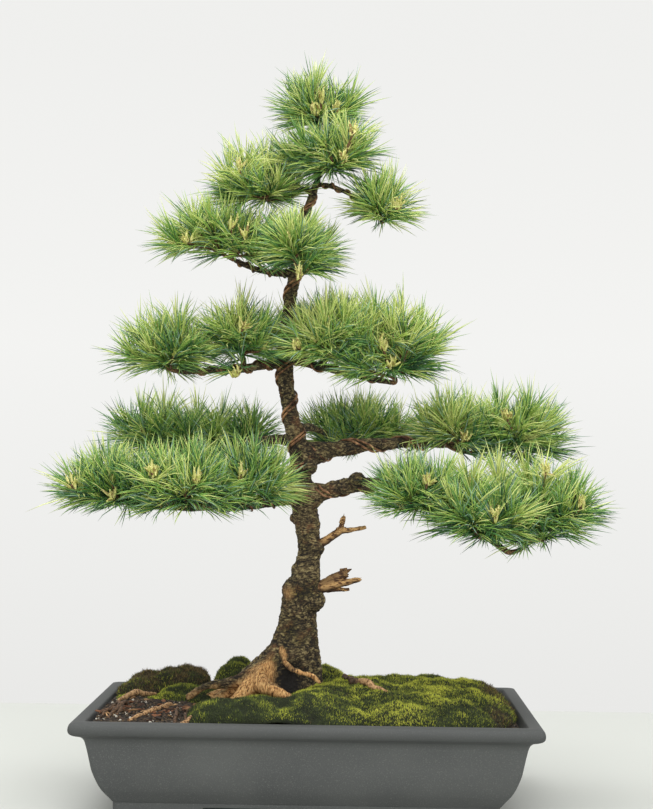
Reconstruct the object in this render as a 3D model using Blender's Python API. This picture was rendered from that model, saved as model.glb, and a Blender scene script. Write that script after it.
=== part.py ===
"""A Japanese white pine trained as a bonsai, in its rectangular unglazed pot, at its real size.

Metres, +Z up, +X to the right and +Y to the back as the tree is shown. Places are given from the middle of the
pot's foot, and one empty then moves the whole so that the origin is under the middle of tree and pot together.
"""

import math

import bmesh
import bpy
import numpy as np
from mathutils import Matrix, Vector

MM = 0.001
GAP = 0.0003
UP = Vector((0, 0, 1))

# The middle of the pot's foot, seen from the middle of tree and pot together.
POT_AT = Vector((-0.0185, 0.0070, 0.0))

# Pot: length and depth are at the lip, height is from the table to the lip.
POT_LENGTH = 0.420
POT_DEPTH = 0.294
POT_HEIGHT = 0.091
FOOT_HEIGHT = 0.0125
CORNER_RADIUS = 0.005
CORNER_POINTS = 3
FOOT_INSET = 0.0365
FOOT_WIDTH = 0.012
FOOT_GAP_LENGTH = 0.184
FOOT_GAP_DEPTH = 0.112
FOOT_GAP_SLOPE = 0.009
DRAIN_RADIUS = 0.011
DRAIN_APART = 0.150
# The outside from the plinth up to the lip, as (depth below the lip, inset from its edge), in millimetres.
POT_OUTSIDE = (
    (75.5, 36.4),
    (74.0, 35.0),
    (70.0, 32.0),
    (63.5, 27.0),
    (55.5, 22.9),
    (45.5, 19.2),
    (37.0, 17.3),
    (26.0, 15.1),
    (17.5, 12.8),
    (14.0, 9.5),
    (12.4, 4.5),
    (10.5, 1.2),
    (7.5, 0.0),
    (4.0, 0.3),
    (1.0, 2.0),
    (0.0, 5.0),
)
# The inside from the lip down to the floor, in the same way.
POT_INSIDE = (
    (0.0, 12.0),
    (1.2, 14.0),
    (8.0, 16.0),
    (25.0, 22.5),
    (45.0, 28.0),
    (70.5, 38.0),
)

# Soil and what covers it. Each cushion is (middle x, middle y, half length, half depth, height), in millimetres.
SOIL_TOP = POT_HEIGHT - 0.006
SOIL_GAP = 0.0004
CUSHIONS = {
    "moss_rear_left": (-144, 84, 42, 40, 34),
    "moss_behind_root": (-77, 84, 23, 40, 43),
    "moss_rear": (-6, 90, 46, 34, 31),
    "moss_right": (116, 2, 76, 122, 30),
    "moss_front": (-32, -92, 70, 33, 17),
    "mulch_left": (-146, -44, 42, 82, 10),
}

# The trunk from the ground to its tip, as (x, y, height, radius), in millimetres.
TRUNK = (
    (-26, 6, 85.3, 41),
    (-24, 6, 106, 34),
    (-21, 5, 128, 29.5),
    (-15.5, 4, 153, 21.5),
    (-13, 3, 172, 17.8),
    (-9.3, 2, 196, 18.8),
    (-5.5, 0, 216, 13.6),
    (-3.2, -2, 244, 11.2),
    (-8.5, -3, 280, 12.6),
    (-12.8, -2, 306, 11.3),
    (-13, 0, 332, 10.4),
    (-22, 2, 365, 7.6),
    (-29, 3, 415, 8.3),
    (-26.7, 2, 461, 6.3),
    (-19.5, 0, 509, 5.6),
    (-11, -1, 558, 4.3),
    (1, 0, 598, 3.3),
    (4.5, 1, 628, 2.6),
    (0, 0, 646, 2.1),
)
TRUNK_RINGS = 31
TRUNK_SIDES = 11
# Surface roots, as (bearing in degrees, length, height at the trunk, radius at the trunk), in millimetres.
ROOTS = (
    (176, 92, 32, 13),
    (212, 66, 24, 11),
    (283, 68, 22, 9),
    (322, 62, 22, 7.5),
    (12, 66, 20, 9),
    (78, 58, 22, 9),
    (128, 62, 24, 10),
)
ROOT_TIP_RADIUS = 0.0035

# Boughs: what each grows from, where on it (height in millimetres on the trunk, a share of the length elsewhere),
# its tip, how far it arches up in between, and its radius at root and tip, in millimetres.
BOUGHS = {
    "bough_right_low": ("trunk", 289, (54, -38, 304), 6, 8.6, 6.6),
    "bough_right_low_end": ("bough_right_low", 1.0, (178, -84, 244), 7, 6.4, 3),
    "bough_right_low_side": ("bough_right_low_end", 0.5, (148, -104, 258), 3, 3, 2),
    "bough_right_low_inner": ("bough_right_low_end", 0.1, (92, -74, 293), 3, 3, 2),
    "bough_right_rear": ("trunk", 328, (186, 58, 337), 9, 9.4, 3.2),
    "bough_right_rear_side": ("bough_right_rear", 0.55, (136, 34, 348), 2, 3.2, 2.2),
    "bough_left_low": ("trunk", 290, (-150, -72, 280), -5, 7.4, 3),
    "bough_left_low_side": ("bough_left_low", 0.5, (-106, -82, 289), 3, 3.2, 2),
    "bough_left_low_inner": ("bough_left_low", 0.22, (-52, -48, 298), 2, 3.2, 2),
    "bough_left_rear": ("trunk", 342, (-82, 64, 336), 4, 6, 2.8),
    "bough_rear_low": ("trunk", 352, (14, 68, 349), 5, 5.4, 2.6),
    "bough_left_mid": ("trunk", 419, (-128, -19, 407), -3, 5.6, 2.6),
    "bough_left_mid_side": ("bough_left_mid", 0.38, (-68, -16, 422), 1, 2.8, 1.9),
    "bough_right_mid": ("trunk", 425, (74, -36, 398), -2, 5.4, 2.6),
    "bough_right_mid_side": ("bough_right_mid", 0.34, (16, -26, 422), 1, 2.8, 1.9),
    "bough_rear_mid": ("trunk", 440, (2, 60, 436), 4, 4.6, 2.4),
    "bough_left_high": ("trunk", 505, (-78, -19, 514), -5, 4, 2.2),
    "bough_front_high": ("trunk", 518, (-16, -36, 510), 2, 3.2, 2),
    "bough_rear_high": ("trunk", 530, (-16, 38, 533), 3, 3.2, 2),
    "bough_top_right": ("trunk", 590, (47, -11, 567), 6, 2.7, 1.7),
    "bough_top_left": ("trunk", 582, (-40, 0, 587), 3, 2.7, 1.7),
    "bough_apex": ("trunk", 604, (14, -13, 606), 1, 2.1, 1.6),
}
BOUGH_STEPS = 9
SHORT_BOUGH_STEPS = 5
SHORT_BOUGH = 0.060

# Foliage: the limb that carries each mass, the middle and the half sizes of the room its shoots fill, how many
# shoots the solid has, and its seed. Lengths in millimetres.
FOLIAGE = {
    "foliage_apex": ("trunk", (-9, 0, 655), (22, 18, 14), 5, 11),
    "foliage_apex_side": ("bough_apex", (12, -26, 607), (32, 20, 18), 5, 12),
    "foliage_top_right": ("bough_top_right", (46, -10, 562), (20, 18, 10), 4, 13),
    "foliage_top_left": ("bough_top_left", (-50, 0, 578), (32, 26, 13), 5, 14),
    "foliage_left_high": ("bough_left_high", (-86, -20, 533), (38, 26, 15), 5, 15),
    "foliage_front_high": ("bough_front_high", (-19, -54, 515), (20, 22, 16), 5, 16),
    "foliage_rear_high": ("bough_rear_high", (-16, 64, 540), (34, 26, 15), 5, 17),
    "foliage_left_mid_outer": ("bough_left_mid", (-138, -20, 420), (28, 26, 16), 5, 18),
    "foliage_left_mid_inner": ("bough_left_mid_side", (-70, -18, 434), (24, 26, 18), 4, 19),
    "foliage_right_mid_inner": ("bough_right_mid_side", (16, -42, 436), (28, 24, 16), 5, 20),
    "foliage_right_mid_outer": ("bough_right_mid", (70, -32, 426), (36, 30, 20), 6, 21),
    "foliage_rear_mid": ("bough_rear_mid", (12, 92, 444), (44, 32, 17), 6, 22),
    "foliage_left_rear": ("bough_left_rear", (-110, 88, 340), (58, 30, 13), 6, 23),
    "foliage_left_low_outer": ("bough_left_low", (-176, -74, 292), (42, 32, 16), 6, 24),
    "foliage_left_low_mid": ("bough_left_low_side", (-112, -92, 296), (32, 32, 18), 6, 25),
    "foliage_left_low_inner": ("bough_left_low_inner", (-54, -60, 302), (26, 26, 16), 5, 26),
    "foliage_rear_low": ("bough_rear_low", (46, 98, 357), (48, 30, 15), 5, 27),
    "foliage_right_rear_inner": ("bough_right_rear_side", (134, 40, 350), (30, 26, 14), 4, 28),
    "foliage_right_rear_outer": ("bough_right_rear", (192, 54, 350), (34, 30, 16), 5, 29),
    "foliage_right_low_inner": ("bough_right_low_inner", (98, -80, 290), (28, 26, 13), 5, 30),
    "foliage_right_low_mid": ("bough_right_low_side", (154, -102, 264), (36, 30, 18), 6, 31),
    "foliage_right_low_outer": ("bough_right_low_end", (212, -56, 274), (36, 36, 20), 7, 32),
}
STEM_TIP_RADIUS = 0.0012
STEM_POINTS = 5
SHOOT_RADII = (0.0010, 0.0011, 0.0028, 0.0009)
SHOOT_SIDES = 5
CORE_LENGTH = 0.012
NEEDLE_LENGTH = 0.044
NEEDLE_AHEAD = 0.30
NEEDLE_LIFT = 0.35
TRIES = 240
ROOM_FLOOR = -0.5
SHOOT_LIFT = 0.75
NEEDLE_ROOM = 0.020
NEEDLE_RADIUS = 0.0009
BALL_APART = 0.002
CLEARANCE = 0.0018

# Training wire: what it winds on, from and to which share of its length, turns, and the angle it starts at.
WIRES = {
    "wire_trunk_low": ("trunk", 0.604, 0.656, 3, 200),
    "wire_trunk_high": ("trunk", 0.708, 0.762, 3, 40),
    "wire_right_low": ("bough_right_low", 0.30, 0.95, 3, 90),
    "wire_right_rear": ("bough_right_rear", 0.16, 0.50, 4, 0),
    "wire_left_mid": ("bough_left_mid", 0.45, 0.93, 4, 30),
}
WIRE_RADIUS = 0.0015
WIRE_TURN_POINTS = 8
WIRED_ROOM = 0.0045

# Dead stubs left on the trunk: the height they start at, how far along the first arm the others fork off, then
# each arm's tip, root radius and tip radius, in millimetres.
DEADWOOD = {
    "stub_upper": (244, 0.72, (((30, -10, 259), 5.2, 2.8), ((29, -13, 269), 2.8, 2), ((51, -8, 260.5), 2.9, 1.9))),
    "stub_lower": (196, 0.25, (((34, -2, 217), 8.5, 3), ((46, -11, 211), 7, 2.2), ((37, -6, 200.5), 3, 1.6))),
}


def metres(point):
    """A point in millimetres as a vector in metres."""
    return Vector(point) * MM


def principled(name, colour, roughness, metallic=0.0):
    """A plain material with this colour, roughness and metallic value."""
    material = bpy.data.materials.new(name)
    material.use_nodes = True
    shader = material.node_tree.nodes["Principled BSDF"]
    shader.inputs["Base Color"].default_value = (*colour, 1)
    shader.inputs["Roughness"].default_value = roughness
    shader.inputs["Metallic"].default_value = metallic
    material.diffuse_color = (*colour, 1)
    return material


def new_object(name, mesh, collection, material=None):
    """An object with this mesh, in this collection, in this material."""
    made = bpy.data.objects.new(name, mesh)
    collection.objects.link(made)
    if material:
        mesh.materials.append(material)
    return made


def mesh_of(name, shape):
    """A mesh with what a bmesh holds, its faces turned outwards, and the bmesh freed."""
    shape.normal_update()
    bmesh.ops.recalc_face_normals(shape, faces=shape.faces)
    mesh = bpy.data.meshes.new(name)
    shape.to_mesh(mesh)
    shape.free()
    return mesh


def loft_shape(rings):
    """A closed shape through rings that have the same number of points, with a flat cap at each end."""
    shape = bmesh.new()
    loops = [[shape.verts.new(point) for point in ring] for ring in rings]
    count = len(loops[0])
    for low, high in zip(loops, loops[1:]):
        for i in range(count):
            j = (i + 1) % count
            shape.faces.new((low[i], low[j], high[j], high[i]))
    shape.faces.new(loops[0][::-1])
    shape.faces.new(loops[-1])
    return shape


def loft(name, rings):
    """The mesh of a loft through rings."""
    return mesh_of(name, loft_shape(rings))


def cone_mesh(name, foot, tip, radii, sides):
    """A capped cone from foot to tip, or a spike where its second radius is nothing."""
    along = tip - foot
    turn = along.to_track_quat("Z", "Y").to_matrix().to_4x4()
    shape = bmesh.new()
    bmesh.ops.create_cone(
        shape,
        cap_ends=True,
        segments=sides,
        radius1=radii[0],
        radius2=radii[1],
        depth=along.length,
    )
    shape.transform(Matrix.Translation((foot + tip) / 2) @ turn)
    return mesh_of(name, shape)


def tube(name, points, radii, resolution, collection, material=None):
    """A round limb or wire along points: a poly curve with a bevel and filled caps, as a mesh with welded caps."""
    curve = bpy.data.curves.new(name, "CURVE")
    curve.dimensions = "3D"
    curve.bevel_depth = 1.0
    curve.bevel_resolution = resolution
    curve.use_fill_caps = True
    spline = curve.splines.new("POLY")
    spline.points.add(len(points) - 1)
    for place, point, radius in zip(spline.points, points, radii):
        place.co = (*point, 1)
        place.radius = radius
    line = bpy.data.objects.new(name + "_line", curve)
    collection.objects.link(line)
    seen = line.evaluated_get(bpy.context.evaluated_depsgraph_get())
    mesh = bpy.data.meshes.new_from_object(seen)
    mesh.name = name
    bpy.data.objects.remove(line)
    bpy.data.curves.remove(curve)
    shape = bmesh.new()
    shape.from_mesh(mesh)
    bmesh.ops.remove_doubles(shape, verts=shape.verts, dist=1e-6)
    bmesh.ops.recalc_face_normals(shape, faces=shape.faces)
    shape.to_mesh(mesh)
    shape.free()
    return new_object(name, mesh, collection, material)


def helper(name, mesh):
    """A cutter: an object that is never rendered, in the cutters' collection."""
    made = new_object(name, mesh, cutters)
    made.hide_render = True
    made.display_type = "WIRE"
    return made


def boolean(made, other, operation="DIFFERENCE"):
    """A Boolean of one object, or of all in a collection, on an object."""
    modifier = made.modifiers.new(operation.title(), "BOOLEAN")
    modifier.operation = operation
    modifier.solver = "MANIFOLD"
    if isinstance(other, bpy.types.Collection):
        modifier.operand_type = "COLLECTION"
        modifier.collection = other
    else:
        modifier.object = other


def largest_shell(mesh):
    """Drops every shell of a mesh but the largest: loose scraps, and the walls of hollows that a union sealed."""
    shape = bmesh.new()
    shape.from_mesh(mesh)
    left, shells = set(shape.verts), []
    while left:
        reached = [left.pop()]
        for vertex in reached:
            for edge in vertex.link_edges:
                other = edge.other_vert(vertex)
                if other in left:
                    left.remove(other)
                    reached.append(other)
        shells.append(reached)
    shells.sort(key=len)
    scraps = [vertex for shell in shells[:-1] for vertex in shell]
    bmesh.ops.delete(shape, geom=scraps, context="VERTS")
    shape.to_mesh(mesh)
    shape.free()


def fused(made, meshes):
    """Joins meshes onto an object by one Boolean union, and removes what was joined."""
    others = bpy.data.collections.new(made.name + "_pieces")
    bpy.context.scene.collection.children.link(others)
    for mesh in meshes:
        new_object("piece", mesh, others)
    boolean(made, others, "UNION")
    seen = made.evaluated_get(bpy.context.evaluated_depsgraph_get())
    mesh = bpy.data.meshes.new_from_object(seen)
    made.modifiers.clear()
    made.data = mesh
    largest_shell(mesh)
    for piece in list(others.objects):
        bpy.data.objects.remove(piece)
    bpy.data.collections.remove(others)


def smooth_rows(rows, count):
    """Rows of numbers read evenly, by index, from the Catmull-Rom curve through them."""
    rows = np.array(rows, float)
    padded = np.vstack([2 * rows[0] - rows[1], rows, 2 * rows[-1] - rows[-2]])
    spots = np.linspace(0, len(rows) - 1, count)
    start = np.minimum(spots.astype(int), len(rows) - 2)
    t = (spots - start)[:, None]
    a, b, c, d = (padded[start + i] for i in range(4))
    return 0.5 * (2 * b + (c - a) * t + (2 * a - 5 * b + 4 * c - d) * t**2 + (3 * b - a - 3 * c + d) * t**3)


def cross_axes(points):
    """Two unit vectors across the line at each point, turned as little as possible from one to the next."""
    points = [Vector(p) for p in points]
    last = len(points) - 1
    along = [(points[min(i + 1, last)] - points[max(i - 1, 0)]).normalized() for i in range(last + 1)]
    first = along[0].cross(Vector((0, 1, 0))).normalized().cross(along[0]).normalized()
    axes = []
    for direction in along:
        first = (first - direction * first.dot(direction)).normalized()
        axes.append((first, direction.cross(first)))
    return axes


def trunk_line(count):
    """The trunk's middle line and radii, in metres."""
    rows = smooth_rows(TRUNK, count) * MM
    return [Vector(row[:3]) for row in rows], [float(row[3]) for row in rows]


def trunk_mesh(name, more=0.0):
    """The trunk's tapering stem, a little lobed at the foot, with level rings there, and `more` added all round."""
    points, radii = trunk_line(TRUNK_RINGS)
    rings = []
    for i, (point, radius) in enumerate(zip(points, radii)):
        height = i / (TRUNK_RINGS - 1)
        lobe = 0.10 * max(0.0, 1 - 4 * height)
        ring = []
        for k in range(TRUNK_SIDES):
            angle = math.tau * k / TRUNK_SIDES
            out = radius * (1 + lobe * math.cos(5 * angle + 0.6)) + more
            ring.append(point + Vector((math.cos(angle), math.sin(angle), 0)) * out)
        rings.append(ring)
    if more:
        rings[0] = [point - UP * more for point in rings[0]]
    return loft(name, rings)


def root_meshes(more=0.0):
    """The surface roots: each leaves the trunk's foot, dips to the soil and tapers away along it."""
    foot = metres(TRUNK[0][:3])
    for bearing, length, height, radius in ROOTS:
        turn = math.radians(bearing)
        out = Vector((math.cos(turn), math.sin(turn), 0))
        inner = foot + out * 0.012 + UP * height * MM
        middle = foot + out * length * MM * 0.62 + UP * 0.009
        outer = foot + out * length * MM + UP * 0.001
        knee = ROOT_TIP_RADIUS + (radius * MM - ROOT_TIP_RADIUS) * 0.45
        yield cone_mesh("root", inner, middle, (radius * MM + more, knee + more), 7)
        inward = middle - (outer - middle).normalized() * knee
        yield cone_mesh("root", inward, outer, (knee * 0.98 + more, ROOT_TIP_RADIUS + more), 7)


def nearest_height(points, height):
    """Where on an upright line a height comes, as an index that may fall between two points."""
    heights = [point.z for point in points]
    return float(np.interp(height, heights, range(len(heights))))


def at_index(points, radii, index):
    """Point and radius at an index that may fall between two."""
    low = min(int(index), len(points) - 2)
    share = index - low
    point = points[low].lerp(points[low + 1], share)
    return point, radii[low] + (radii[low + 1] - radii[low]) * share


def bough_line(name):
    """A bough's middle line and radii. It leaves its parent's middle line, arches a little, and sways once."""
    parent, where, tip, arch, root_radius, tip_radius = BOUGHS[name]
    points, radii = lines[parent]
    on_trunk = parent == "trunk"
    index = nearest_height(points, where * MM) if on_trunk else where * (len(points) - 1)
    start, _ = at_index(points, radii, index)
    tip = metres(tip)
    if where == 1.0:
        start = start + (points[-1] - points[-2]).normalized() * GAP
    across = (tip - start).cross(UP).normalized()
    sway = (tip - start).length * 0.025
    line, widths = [], []
    steps = BOUGH_STEPS if (tip - start).length > SHORT_BOUGH else SHORT_BOUGH_STEPS
    for i in range(steps):
        s = i / (steps - 1)
        point = start.lerp(tip, s) + UP * arch * MM * 4 * s * (1 - s)
        line.append(point + across * sway * math.sin(math.tau * s))
        widths.append((root_radius + (tip_radius - root_radius) * s**0.8) * MM)
    if where == 1.0:
        end = (points[-1] - points[-2]).normalized()
        line[1] = line[0] + end * (line[1] - line[0]).length
    return line, widths


def stem_line(name):
    """The stem inside a mass: it goes on from its limb's tip and curves to the far side of the room."""
    carrier, middle, half, _, _ = FOLIAGE[name]
    points, radii = lines[carrier]
    ahead = UP if carrier == "trunk" else (points[-1] - points[-2]).normalized()
    start = points[-1] + ahead * GAP
    middle, half = metres(middle), metres(half)
    out = middle - start
    out.z = 0
    if out.length < 0.004:
        out = Vector((0.004, 0, 0))
    reach = max(half.x * abs(out.normalized().x), half.y * abs(out.normalized().y))
    end = middle + out.normalized() * reach * 0.55 - UP * half.z * 0.2
    bend = start + ahead * min(0.35 * (end - start).length, 0.014)
    line = [start]
    for i in range(1, STEM_POINTS):
        s = i / (STEM_POINTS - 1)
        line.append(start * (1 - s) ** 2 + bend * 2 * s * (1 - s) + end * s**2)
    line[1] = start + ahead * (line[1] - start).length
    widths = np.linspace(radii[-1] * 0.95, STEM_TIP_RADIUS, STEM_POINTS)
    return line, [float(w) for w in widths]


def twig_to(name, place):
    """Where the twig to a shoot leaves the stem, a little behind the spot nearest to the shoot."""
    line, widths = lines[name]
    spots = [at_index(line, widths, i / 4)[0] for i in range(4 * (STEM_POINTS - 1) + 1)]
    near = min(range(len(spots)), key=lambda i: (spots[i] - place).length)
    return spots[max(2, near - 2)]


def shoot_axis(name, place):
    """The way a shoot points: away from the middle of its room, and up."""
    _, middle, half, _, _ = FOLIAGE[name]
    out = Vector((place[i] / MM - middle[i]) / half[i] for i in range(3))
    return (out.normalized() + UP * SHOOT_LIFT).normalized()


def shoots(name, rng):
    """The shoots of a mass, each as its line, spread as far apart as the places with room for them allow."""
    _, middle, half, count, _ = FOLIAGE[name]
    tries = rng.uniform(-1, 1, (TRIES, 3))
    length = np.linalg.norm(tries, axis=1)
    tries = tries[(length < 1) & (length > 0.45) & (tries[:, 2] > ROOM_FLOOR)]
    free = []
    for spot in (np.array(middle) + tries * half) * MM:
        place = Vector(spot)
        axis = shoot_axis(name, place)
        line = shoot_line(twig_to(name, place), place, axis)
        root, base, *_ = line
        if in_own_space(name, balls([root.lerp(base, 0.3), *line[1:]], SHOOT_RADII)):
            free.append(line)
    chosen = [max(free, key=lambda line: line[2].z)]
    while len(chosen) < count:
        chosen.append(max(free, key=lambda line: min((line[2] - other[2]).length for other in chosen)))
    return chosen


def shoot_line(root, middle, axis):
    """The line of a twig and of the slim core that it ends in."""
    half = axis * CORE_LENGTH / 2
    return [root, middle - half, middle, middle + half]


def shoot_mesh(name, line, taken, rng):
    """A twig with its core, and its needles as balls close together. Each facet of the core is drawn out to a needle,
    away from it and up, where that keeps to the mass's space and clear of the balls taken there already."""
    _, base, middle, tip = line
    axis = (tip - base).normalized()
    rings = []
    for point, radius, (one, two) in zip(line, SHOOT_RADII, cross_axes(line)):
        turns = [math.tau * k / SHOOT_SIDES for k in range(SHOOT_SIDES)]
        rings.append([point + (one * math.cos(t) + two * math.sin(t)) * radius for t in turns])
    shape = loft_shape(rings)
    bmesh.ops.triangulate(shape, faces=shape.faces)
    shape.normal_update()
    needles = []
    for facet in list(shape.faces):
        length = NEEDLE_LENGTH * rng.uniform(0.84, 1.0)
        start = facet.calc_center_median()
        if (start - base).dot(axis) < 0:
            continue
        end = start + (facet.normal + axis * NEEDLE_AHEAD + UP * NEEDLE_LIFT).normalized() * length
        needle = balls([start.lerp(end, 0.1), end], (NEEDLE_RADIUS, NEEDLE_RADIUS))
        if clear_of(needle, taken) and in_own_space(name, needle):
            point = bmesh.ops.poke(shape, faces=[facet])["verts"][0]
            point.co = end
            needles.append(needle)
    return mesh_of(name, shape), needles


def balls(points, radii):
    """A limb as balls close together, each a row of its middle and radius."""
    rows = []
    for start, end, wide, thin in zip(points, points[1:], radii, radii[1:]):
        for s in np.linspace(0, 1, max(2, math.ceil((end - start).length / BALL_APART)) + 1):
            rows.append((*start.lerp(end, s), wide + (thin - wide) * s))
    return np.array(rows)


def clear_of(some, others, room=0.0):
    """Whether balls keep this much room to other balls."""
    apart = np.linalg.norm(some[:, None, :3] - others[None, :, :3], axis=2)
    return bool((apart > some[:, None, 3] + others[None, :, 3] + room).all())


def limb_balls():
    """Every limb as balls, by the limb's name. Wire makes a limb wider."""
    wound = {row[0] for row in WIRES.values()}
    made = {}
    for name, (points, radii) in lines.items():
        extra = WIRED_ROOM if name in wound else 0.0
        made[name] = balls(points, [radius + extra for radius in radii])
    return made


def in_own_space(name, some):
    """Whether balls keep to this mass's space, a cell cut off by flat planes between it and each other mass, and
    clear of every limb but its own stem."""
    middle, half = (metres(v) for v in FOLIAGE[name][1:3])
    points, radius = some[:, :3], some[:, 3].max()
    own = ((points - np.array(middle)) ** 2).sum(1) - (sum(half) / 3 + NEEDLE_ROOM) ** 2
    for other, (_, place, size, _, _) in FOLIAGE.items():
        if other == name:
            continue
        place, size = metres(place), metres(size)
        theirs = ((points - np.array(place)) ** 2).sum(1) - (sum(size) / 3 + NEEDLE_ROOM) ** 2
        room = 2 * (radius + CLEARANCE / 2) * (place - middle).length
        if (own > theirs - room).any():
            return False
    return all(clear_of(some, limb, CLEARANCE) for other, limb in limbs.items() if other != name)


def foliage(name, collection, material):
    """One mass: its stem, and the twigs that rise from it to a spray of needles each."""
    rng = np.random.RandomState(FOLIAGE[name][4])
    grown = shoots(name, rng)
    twigs = [balls(line, SHOOT_RADII) for line in grown]
    taken = [limbs[name]]
    pieces = []
    for i, line in enumerate(grown):
        others = np.concatenate(taken + twigs[:i] + twigs[i + 1:])
        shoot, needles = shoot_mesh(name, line, others, rng)
        pieces.append(shoot)
        taken += needles
    fused(tube(name, *lines[name], 0, collection, material), pieces)


def rounded_ring(inset, height):
    """A rectangle with round corners, this far inside the pot's lip."""
    half_x, half_y = POT_LENGTH / 2 - inset - CORNER_RADIUS, POT_DEPTH / 2 - inset - CORNER_RADIUS
    ring = []
    for corner, (sx, sy) in enumerate(((1, 1), (-1, 1), (-1, -1), (1, -1))):
        for k in range(CORNER_POINTS):
            angle = math.pi / 2 * (corner + k / (CORNER_POINTS - 1))
            x = sx * half_x + CORNER_RADIUS * math.cos(angle)
            y = sy * half_y + CORNER_RADIUS * math.sin(angle)
            ring.append((x, y, height))
    return ring


def foot_gap(name, length, across):
    """A cutter for the space between two feet: a bar whose sides slope out towards the table."""
    half, deep = length / 2, POT_LENGTH
    top, bottom = FOOT_HEIGHT - 0.0005, -0.002
    outline = [(-half - FOOT_GAP_SLOPE, bottom), (half + FOOT_GAP_SLOPE, bottom)]
    for k in range(5):
        s = k / 4
        outline.append((half + FOOT_GAP_SLOPE * (1 - s) ** 2, bottom + (top - bottom) * (0.35 + 0.65 * s)))
    outline += [(-x, z) for x, z in outline[:1:-1]]
    ends = [[(x, y, z) if across else (y, x, z) for x, z in outline] for y in (-deep, deep)]
    return helper(name, loft(name, ends))


def pot(collection, material):
    """The pot: one shell lofted from its underside over the feet, the curved side and the lip to the floor inside."""
    rings = [
        rounded_ring(FOOT_INSET + FOOT_WIDTH, FOOT_HEIGHT),
        rounded_ring(FOOT_INSET + FOOT_WIDTH, 0),
        rounded_ring(FOOT_INSET, 0),
    ]
    rings += [rounded_ring(inset * MM, POT_HEIGHT - depth * MM) for depth, inset in POT_OUTSIDE + POT_INSIDE]
    made = new_object("pot", loft("pot", rings), collection, material)
    boolean(made, foot_gap("gap_front_to_back", FOOT_GAP_LENGTH, True))
    boolean(made, foot_gap("gap_side_to_side", FOOT_GAP_DEPTH, False))
    for side in (-1, 1):
        middle = Vector((side * DRAIN_APART / 2, 0, FOOT_HEIGHT))
        ends = (middle - UP * 0.004, middle + UP * 0.012)
        hole = cone_mesh("drain", *ends, (DRAIN_RADIUS, DRAIN_RADIUS), 16)
        boolean(made, helper(f"drain_{side}", hole))


def soil(collection, material):
    """What fills the pot: the room inside, a little smaller all round, up to a flat top."""
    heights, insets = zip(*[(POT_HEIGHT - depth * MM, inset * MM) for depth, inset in POT_INSIDE[::-1]])
    levels = [heights[0] + SOIL_GAP, *[h for h in heights[1:] if h < SOIL_TOP], SOIL_TOP]
    rings = [rounded_ring(float(np.interp(z, heights, insets)) + SOIL_GAP, z) for z in levels]
    new_object("soil", loft("soil", rings), collection, material)


def cushion(name, collection, material):
    """A cushion of moss or mulch: a dome, full in plan and uneven on top, cut where it lies and round the trunk."""
    x, y, half_x, half_y, height = (v * MM for v in CUSHIONS[name])
    shape = bmesh.new()
    bmesh.ops.create_uvsphere(shape, u_segments=14, v_segments=8, radius=1)
    for vertex in shape.verts:
        u, v, w = vertex.co
        fuller = (u**4 + v**4) ** -0.25 * math.hypot(u, v) if math.hypot(u, v) > 0.01 else 1
        fuller = 1 + (fuller - 1) * 0.8
        rise = 1 + 0.12 * math.sin(5 * u + 40 * x) * math.cos(4 * v + 25 * y)
        vertex.co = (x + u * half_x * fuller, y + v * half_y * fuller, SOIL_TOP + w * height * rise)
    made = new_object(name, mesh_of(name, shape), collection, material)
    boolean(made, below_ground)
    boolean(made, round_foot)


def wire(name, collection, material):
    """Training wire wound round a limb: a helix that stands clear of the bark by the same gap at its flats."""
    limb, first, last, turns, start = WIRES[name]
    points, radii = lines[limb]
    axes = cross_axes(points)
    count = turns * WIRE_TURN_POINTS + 1
    cut_corner = math.cos(math.pi / WIRE_TURN_POINTS)
    line = []
    for k in range(count):
        s = k / (count - 1)
        index = (first + (last - first) * s) * (len(points) - 1)
        point, radius = at_index(points, radii, index)
        one, two = axes[min(int(index), len(axes) - 1)]
        out = (radius + WIRE_RADIUS + GAP) / cut_corner
        angle = math.radians(start) + math.tau * turns * s
        line.append(point + (one * math.cos(angle) + two * math.sin(angle)) * out)
    tube(name, line, [WIRE_RADIUS] * count, 0, collection, material)


def deadwood(name, collection, material):
    """A dead stub, its bark gone, with the broken arms that it ends in."""
    height, forks, arms = DEADWOOD[name]
    points, radii = lines["trunk"]
    start, _ = at_index(points, radii, nearest_height(points, height * MM))
    (tip, root, end), *others = arms
    tip = metres(tip)
    made = new_object(name, cone_mesh(name, start, tip, (root * MM, end * MM), 7), collection, material)
    fork = start.lerp(tip, forks)
    pieces = [cone_mesh("arm", fork, metres(t), (r * MM, e * MM), 6) for t, r, e in others]
    fused(made, pieces)
    boolean(made, round_trunk)


for stale in list(bpy.data.objects):
    bpy.data.objects.remove(stale)
tree = bpy.data.collections.new("japanese_white_pine")
cutters = bpy.data.collections.new("cutters")
bpy.context.scene.collection.children.link(tree)
bpy.context.scene.collection.children.link(cutters)

bark = principled("bark", (0.16, 0.13, 0.10), 0.9)
needle_green = principled("needles", (0.13, 0.27, 0.07), 0.6)
stoneware = principled("stoneware", (0.10, 0.105, 0.105), 0.75)
earth = principled("soil", (0.05, 0.035, 0.025), 1.0)
moss_green = principled("moss", (0.10, 0.14, 0.02), 1.0)
pale_wood = principled("deadwood", (0.48, 0.30, 0.14), 0.8)
copper = principled("wire", (0.20, 0.07, 0.04), 0.4, 1.0)

pot(tree, stoneware)
soil(tree, earth)

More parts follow.
